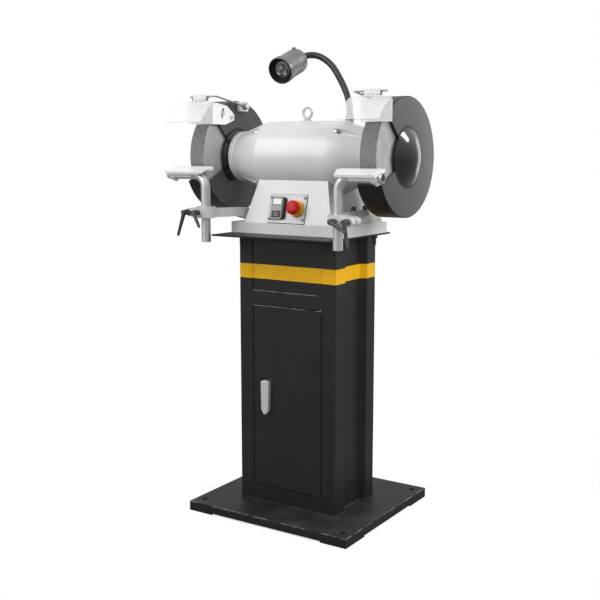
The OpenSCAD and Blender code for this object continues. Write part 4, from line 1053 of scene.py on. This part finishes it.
@dataclass
class Wheels:
    """Grinding wheels and their guards."""

    wall: float = 0.3153
    sheet: float = 0.0025
    mouth: Pair = (135.0, 206.0)
    mouth_reach: Pair = (0.075, 0.256)
    mouth_span: Pair = (0.28, 0.40)
    clip_x: float = 0.278
    clip_half: float = 0.025
    clip_box: Box = (-0.1475, 1.1808, -0.1435, 1.1925)
    slot_pivot: Pair = (-0.050, 1.136)
    slot_radius: float = 0.0434
    slot_half: float = 3.1 * MM
    slot_angles: Pair = (148.3, 182.3)
    slot_span: Pair = (0.2408, 0.2414)
    crown: float = 0.025
    crown_r: float = 0.122
    crown_edge: float = 0.062
    fillet: float = 0.014

    def dome(self) -> list[Pair]:
        """Half section of the dome: a round crown, a straight skirt and a fillet into the wall."""
        slope = math.asin(self.crown_edge / self.crown_r)
        line = []
        for i in range(15):
            turn = slope * i / 14
            line.append((self.crown_r * math.sin(turn), self.crown - self.crown_r * (1 - math.cos(turn))))
        drop = line[-1][1] - self.fillet * (1 - math.cos(slope))
        foot = self.crown_edge + drop / math.tan(slope) + self.fillet * math.sin(slope)
        for i in range(7):
            turn = slope * (1 - i / 6)
            line.append((foot - self.fillet * math.sin(turn), self.fillet * (1 - math.cos(turn))))
        return line

    def cover(self, side: Side) -> Piece:
        """Pressed outer cover: a round dome that runs out into the flat wall, cut open at the front."""
        crown = self.dome()
        skin = crown + metres([(157.8, 0), (159.2, -0.4), (160, -1.4), (160, -2.5)])
        skin += [(r, h - self.sheet) for r, h in reversed(crown)]
        piece = Hand.spin(f"guard_cover_{side.word}_shell", skin, 128, side.shaft(self.wall), None)
        low, high = (math.radians(angle) for angle in self.mouth)
        arc = [low + (high - low) * i / 24 for i in range(25)]
        near, far = self.mouth_reach
        wedge = [polar(near, turn) for turn in arc]
        wedge += [polar(far, turn) for turn in (high, (low + high) / 2, low)]
        middle = Matrix.Translation((0, SPINDLE_Y, SPINDLE_Z))
        Hand.cut(piece, Hand.prism("mouth", wedge, *self.mouth_span, middle @ side.endwise))
        Hand.smooth(piece)
        return piece

    def clip_frame(self, machine: Machine, side: Side) -> None:
        """Dark end caps and a dark sill on a shield's clip."""
        start = side.value * self.clip_x - self.clip_half
        end = side.value * self.clip_x + self.clip_half
        y0, z0, y1, z1 = self.clip_box
        near, far = 0.1 * MM, 1.2 * MM
        ahead = y0 - 0.9 * MM
        parts = [
            ("sill", (start, ahead, z0), (end, y0 - near, z0 + 2.6 * MM)),
            ("cap_low", (start - far, ahead, z0), (start - near, y1, z1)),
            ("cap_high", (end + near, ahead, z0), (end + far, y1, z1)),
        ]
        for word, low, high in parts:
            piece = Hand.block(f"clip_{word}_{side.word}", low, high)
            Hand.finish(piece, 0.3, 2)
            machine.add(piece, f"shield_clip_{side.word}", "black_plastic")

    def slot_back(self, machine: Machine, side: Side) -> None:
        """Black strip in the depth of a spark bracket's slot: a painted shadow that darkens the slot."""
        low, high = (math.radians(angle) for angle in self.slot_angles)
        turns = [low + (high - low) * i / 10 for i in range(11)]
        outline = [polar(self.slot_radius - self.slot_half, turn) for turn in turns]
        outline += [polar(self.slot_radius + self.slot_half, turn) for turn in reversed(turns)]
        pivot = Matrix.Translation((0, *self.slot_pivot))
        piece = Hand.prism(f"slot_back_{side.word}", outline, *self.slot_span, pivot @ side.endwise)
        machine.add(piece, f"spark_bracket_{side.word}", "black_plastic")

    def build(self, machine: Machine) -> None:
        """Dresses the wheels and the guards."""
        for side in Side:
            word = side.word
            machine.paint("wheel_grit", f"wheel_{word}")
            # The guard shells take the darker copy of the guard paint, as painted shade.
            machine.soften(f"guard_{word}", "guard_inner", 0.7, 2)
            machine.stand_in(self.cover(side), f"guard_cover_{word}", "guard_grey")
            machine.soften(f"spark_bracket_{word}", "bracket_white", 0.6, 2)
            machine.soften(f"shield_rod_{word}", "rod_zinc", 0.3, 2)
            machine.soften(f"shield_clip_{word}", "clip_white", 0.9, 2)
            self.clip_frame(machine, side)
            # Painted shadow in each bracket's slot.
            self.slot_back(machine, side)
            machine.soften(f"eye_shield_{word}", "shield_clear", 0.6, 2, 40)
        machine.soften("guard_screws", "bolt_zinc", 0.4, 2)
        machine.soften("shield_blocks", "block_zinc", 1.0)


class Rests:
    """Arms, tubes, tables and levers of the tool rests."""

    def build(self, machine: Machine) -> None:
        """Dresses the rests."""
        for side in Side:
            word = side.word
            machine.soften(f"rest_arm_{word}", "arm_white", 1.6)
            machine.soften(f"rest_post_{word}", "tube_zinc", 0.6, 2)
            machine.soften(f"rest_table_{word}", "table_bright", 0.9)
            machine.soften(f"clamp_lever_{word}", "lever_grey", 0.8, 2, 40)
            machine.soften(f"post_lever_{word}", "lever_grey", 0.8, 2, 40)
        machine.soften("arm_screws", "dark_steel", 0.6, 2)


@dataclass
class Lamp:
    """Flexible neck and the ribbed barrel."""

    foot: RGB = (-0.021, -0.020, 1.2938)
    dip: float = 20.9
    turn: float = 1.6
    ribs: int = 44
    groove: float = 0.980
    grooved: Pair = (0.041, 0.075)
    switch_at: float = 22 * MM
    cup: float = 10.6 * MM

    @property
    def place(self) -> Matrix:
        """The barrel's axis: Z runs from its back to its front."""
        turn = Matrix.Rotation(math.radians(self.turn), 4, "Z")
        return Matrix.Translation(self.foot) @ turn @ Matrix.Rotation(math.radians(90 + self.dip), 4, "X")

    def barrel(self) -> Piece:
        """Round-backed barrel with grooves along it and a deep bell mouth."""
        back = [(0, 0.3), (12, 0.3), (12.8, 1), (13.2, 6), (16, 7), (24, 8.6), (30, 12), (33.2, 17),
                (34.2, 24), (34.3, 34)]
        ribs = [(34.3, 40), (34.3, 42), (34.3, 74), (34.3, 76)]
        mouth = [(34.4, 88), (36.3, 90.5), (36.9, 95), (36.9, 107), (36.2, 110.6), (34.8, 112), (33.6, 111.4),
                 (30, 106), (26, 100.8), (23.4, 98.4), (22.8, 97), (0, 97)]
        piece = Hand.spin("lamp_barrel", metres(back + ribs + mouth), self.ribs * 4, angle=None)
        start, end = self.grooved
        for vertex in piece.data.vertices:
            x, y, z = vertex.co
            step = round(math.atan2(y, x) / math.tau * self.ribs * 4) % 4
            if start < z < end and step == 0:
                vertex.co = (x * self.groove, y * self.groove, z)
        seat = Matrix.Translation((0, 0, self.switch_at)) @ Matrix.Rotation(-math.pi / 2, 4, "X")
        Hand.cut(piece, Hand.spin("bore", metres([(0, 25), (5.3, 25), (5.3, 50), (0, 50)]), 32, seat))
        piece.data.transform(self.place)
        Hand.smooth(piece)
        return piece

    def front(self, machine: Machine) -> None:
        """Dark bell mouth, lens disc and the three cups with their domes."""
        mouth = [(34.9, 112.15), (33.5, 111.7), (29.9, 106.4), (25.9, 101.2), (23.1, 98.8), (22.2, 97.6)]
        skin = mouth + [(r - 0.3, z + 0.3) for r, z in reversed(mouth)]
        dark = Hand.spin("lamp_mouth", metres(skin), 96, self.place)
        machine.add(dark, "lamp_head", "lamp_rim")
        plane = [(0, 97.2), (22.6, 97.2), (22.6, 98.4), (22, 98.9), (0, 98.9)]
        disc = Hand.spin("lamp_window", metres(plane), 64, self.place)
        machine.stand_in(disc, "lamp_lens", "lamp_disc")
        cup = Hand.curve([(0, 99.0), (2.4, 99.2), (5.6, 101.4), (7.4, 104.2), (8.3, 104.3), (8.5, 103.0),
                          (8.2, 98.6)])
        dome = Hand.curve([(3.6, 99.4), (3.5, 100.6), (2.4, 102.4), (0, 103.2)])
        for number, angle in enumerate((90, 210, 330)):
            shift = Matrix.Translation((*polar(self.cup, math.radians(angle)), 0))
            for word, line, finish in (("cup", cup, "lamp_cup"), ("dome", dome, "dome_grey")):
                profile = metres((max(r, 0), z) for r, z in line)
                piece = Hand.spin(f"lamp_{word}_{number}", profile, 32, self.place @ shift, 60)
                machine.add(piece, "lamp_lens", finish)

    def build(self, machine: Machine) -> None:
        """Dresses the lamp."""
        machine.soften("gooseneck", "neck_sleeve", 0.5, 2, 50)
        machine.stand_in(self.barrel(), "lamp_head", "lamp_black")
        self.front(machine)
        machine.paint("lamp_black", "lamp_switch")


@dataclass
class Studio:
    """Camera, lamps, white surround and pale floor."""

    eye: RGB = (1.5126, -2.3800, 1.0542)
    azimuth: float = 33.023
    dip: float = 8.875
    lens: float = 59.2
    fill: float = 0.46
    under: float = 0.35
    horizon: Pair = (-0.25, 0.6)
    floor_fade: Pair = (0.10, 0.85)
    floor_tone: float = 0.38
    floor_glow: float = 0.68

    def camera(self) -> None:
        """Stands the camera where the photograph was taken."""
        data = bpy.data.cameras.new("camera")
        data.lens = self.lens
        data.sensor_width = 36.0
        camera = Hand.place("camera", data)
        turn, dip = math.radians(self.azimuth), math.radians(self.dip)
        ahead = Vector((-math.sin(turn) * math.cos(dip), math.cos(turn) * math.cos(dip), -math.sin(dip)))
        camera.location = self.eye
        camera.rotation_euler = ahead.to_track_quat("-Z", "Y").to_euler()
        bpy.context.scene.camera = camera

    def lamp(self, name: str, place: RGB, size: float, power: float, mirrored: bool = True) -> None:
        """Hangs a square soft lamp that faces the machine.

        Args:
            name: The lamp's name.
            place: Where it hangs.
            size: Length of its sides.
            power: Its power in watts.
            mirrored: Whether glossy surfaces show it.
        """
        data = bpy.data.lights.new(name, "AREA")
        data.size = size
        data.energy = power
        lamp = Hand.place(name, data)
        lamp.visible_glossy = mirrored
        lamp.location = place
        lamp.rotation_euler = (Vector((0, 0, 0.75)) - Vector(place)).to_track_quat("-Z", "Y").to_euler()

    def surround(self) -> None:
        """A white world to the eye, with a darker lower half in what it lights and in reflections."""
        bench = Bench("surround", world=True)
        bpy.context.scene.world = bench.owner
        path = bench.node("ShaderNodeLightPath").outputs
        clear = Wire(bench, path["Is Camera Ray"]).greater_of(path["Is Transmission Ray"])
        bare = Wire(bench, path["Is Glossy Ray"]).greater_of(self.fill)
        sky = bench.axes("Generated")[2].rise(*self.horizon) * (1 - self.under) + self.under
        level = clear.greater_of(bare * sky)
        light = bench.node("ShaderNodeBackground", inputs={"Color": grey(1.0), "Strength": level})
        bench.node("ShaderNodeOutputWorld", inputs={0: light.outputs[0]})

    def floor(self) -> None:
        """A pale floor that keeps a faint shadow and fades into the white surround."""
        bpy.ops.mesh.primitive_plane_add(size=16, location=(0, 0, -0.0002))
        floor = bpy.context.object
        floor.name = "floor"
        bench = Bench("floor_pale")
        x, y, _ = bench.axes()
        fade = (x * x + y * y).rise(*self.floor_fade)
        seen = Wire(bench, bench.node("ShaderNodeLightPath").outputs["Is Camera Ray"])
        matte = bench.node("ShaderNodeBsdfDiffuse", inputs={"Color": grey(self.floor_tone)})
        glow = bench.node("ShaderNodeEmission",
                          inputs={"Color": grey(1.0), "Strength": seen * self.floor_glow})
        lit = bench.node("ShaderNodeAddShader", inputs={0: matte.outputs[0], 1: glow.outputs[0]})
        clear = bench.node("ShaderNodeBsdfTransparent")
        both = bench.node("ShaderNodeMixShader", inputs={0: fade, 1: lit.outputs[0], 2: clear.outputs[0]})
        bench.node("ShaderNodeOutputMaterial", inputs={0: both.outputs[0]})
        floor.data.materials.append(bench.owner)
        floor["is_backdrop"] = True

    def build(self) -> None:
        """Sets the scene round the machine."""
        self.camera()
        self.surround()
        self.floor()
        self.lamp("key", (-1.5, -2.8, 2.6), 3.0, 100)
        self.lamp("side", (2.9, -0.6, 1.9), 2.4, 74, mirrored=False)
        self.lamp("rear", (1.95, 1.46, 2.42), 0.45, 24)
        self.lamp("rear_low", (0.45, 2.4, 1.02), 1.2, 5)
        scene = bpy.context.scene
        scene.view_settings.view_transform = "Standard"


def corners(box: tuple[Vector, Vector]) -> list[list[float]]:
    """A box's two corners as plain numbers."""
    return [[round(value, 5) for value in corner] for corner in box]


def main() -> None:
    """Loads the frame, dresses every sub-assembly and sets the studio."""
    logging.basicConfig(level=logging.INFO, format="%(name)s: %(message)s")
    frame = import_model()
    cad_box = corners(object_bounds())
    machine = Machine(frame, Palette())
    Studio().build()
    for part in (Stand(), Casting(), Motor(), Wheels(), Rests(), Lamp()):
        part.build(machine)
        LOG.info("dressed %s", type(part).__name__)
    json.dumps({"cad": cad_box, "visual": corners(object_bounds())})


if __name__ == "__main__":
    main()
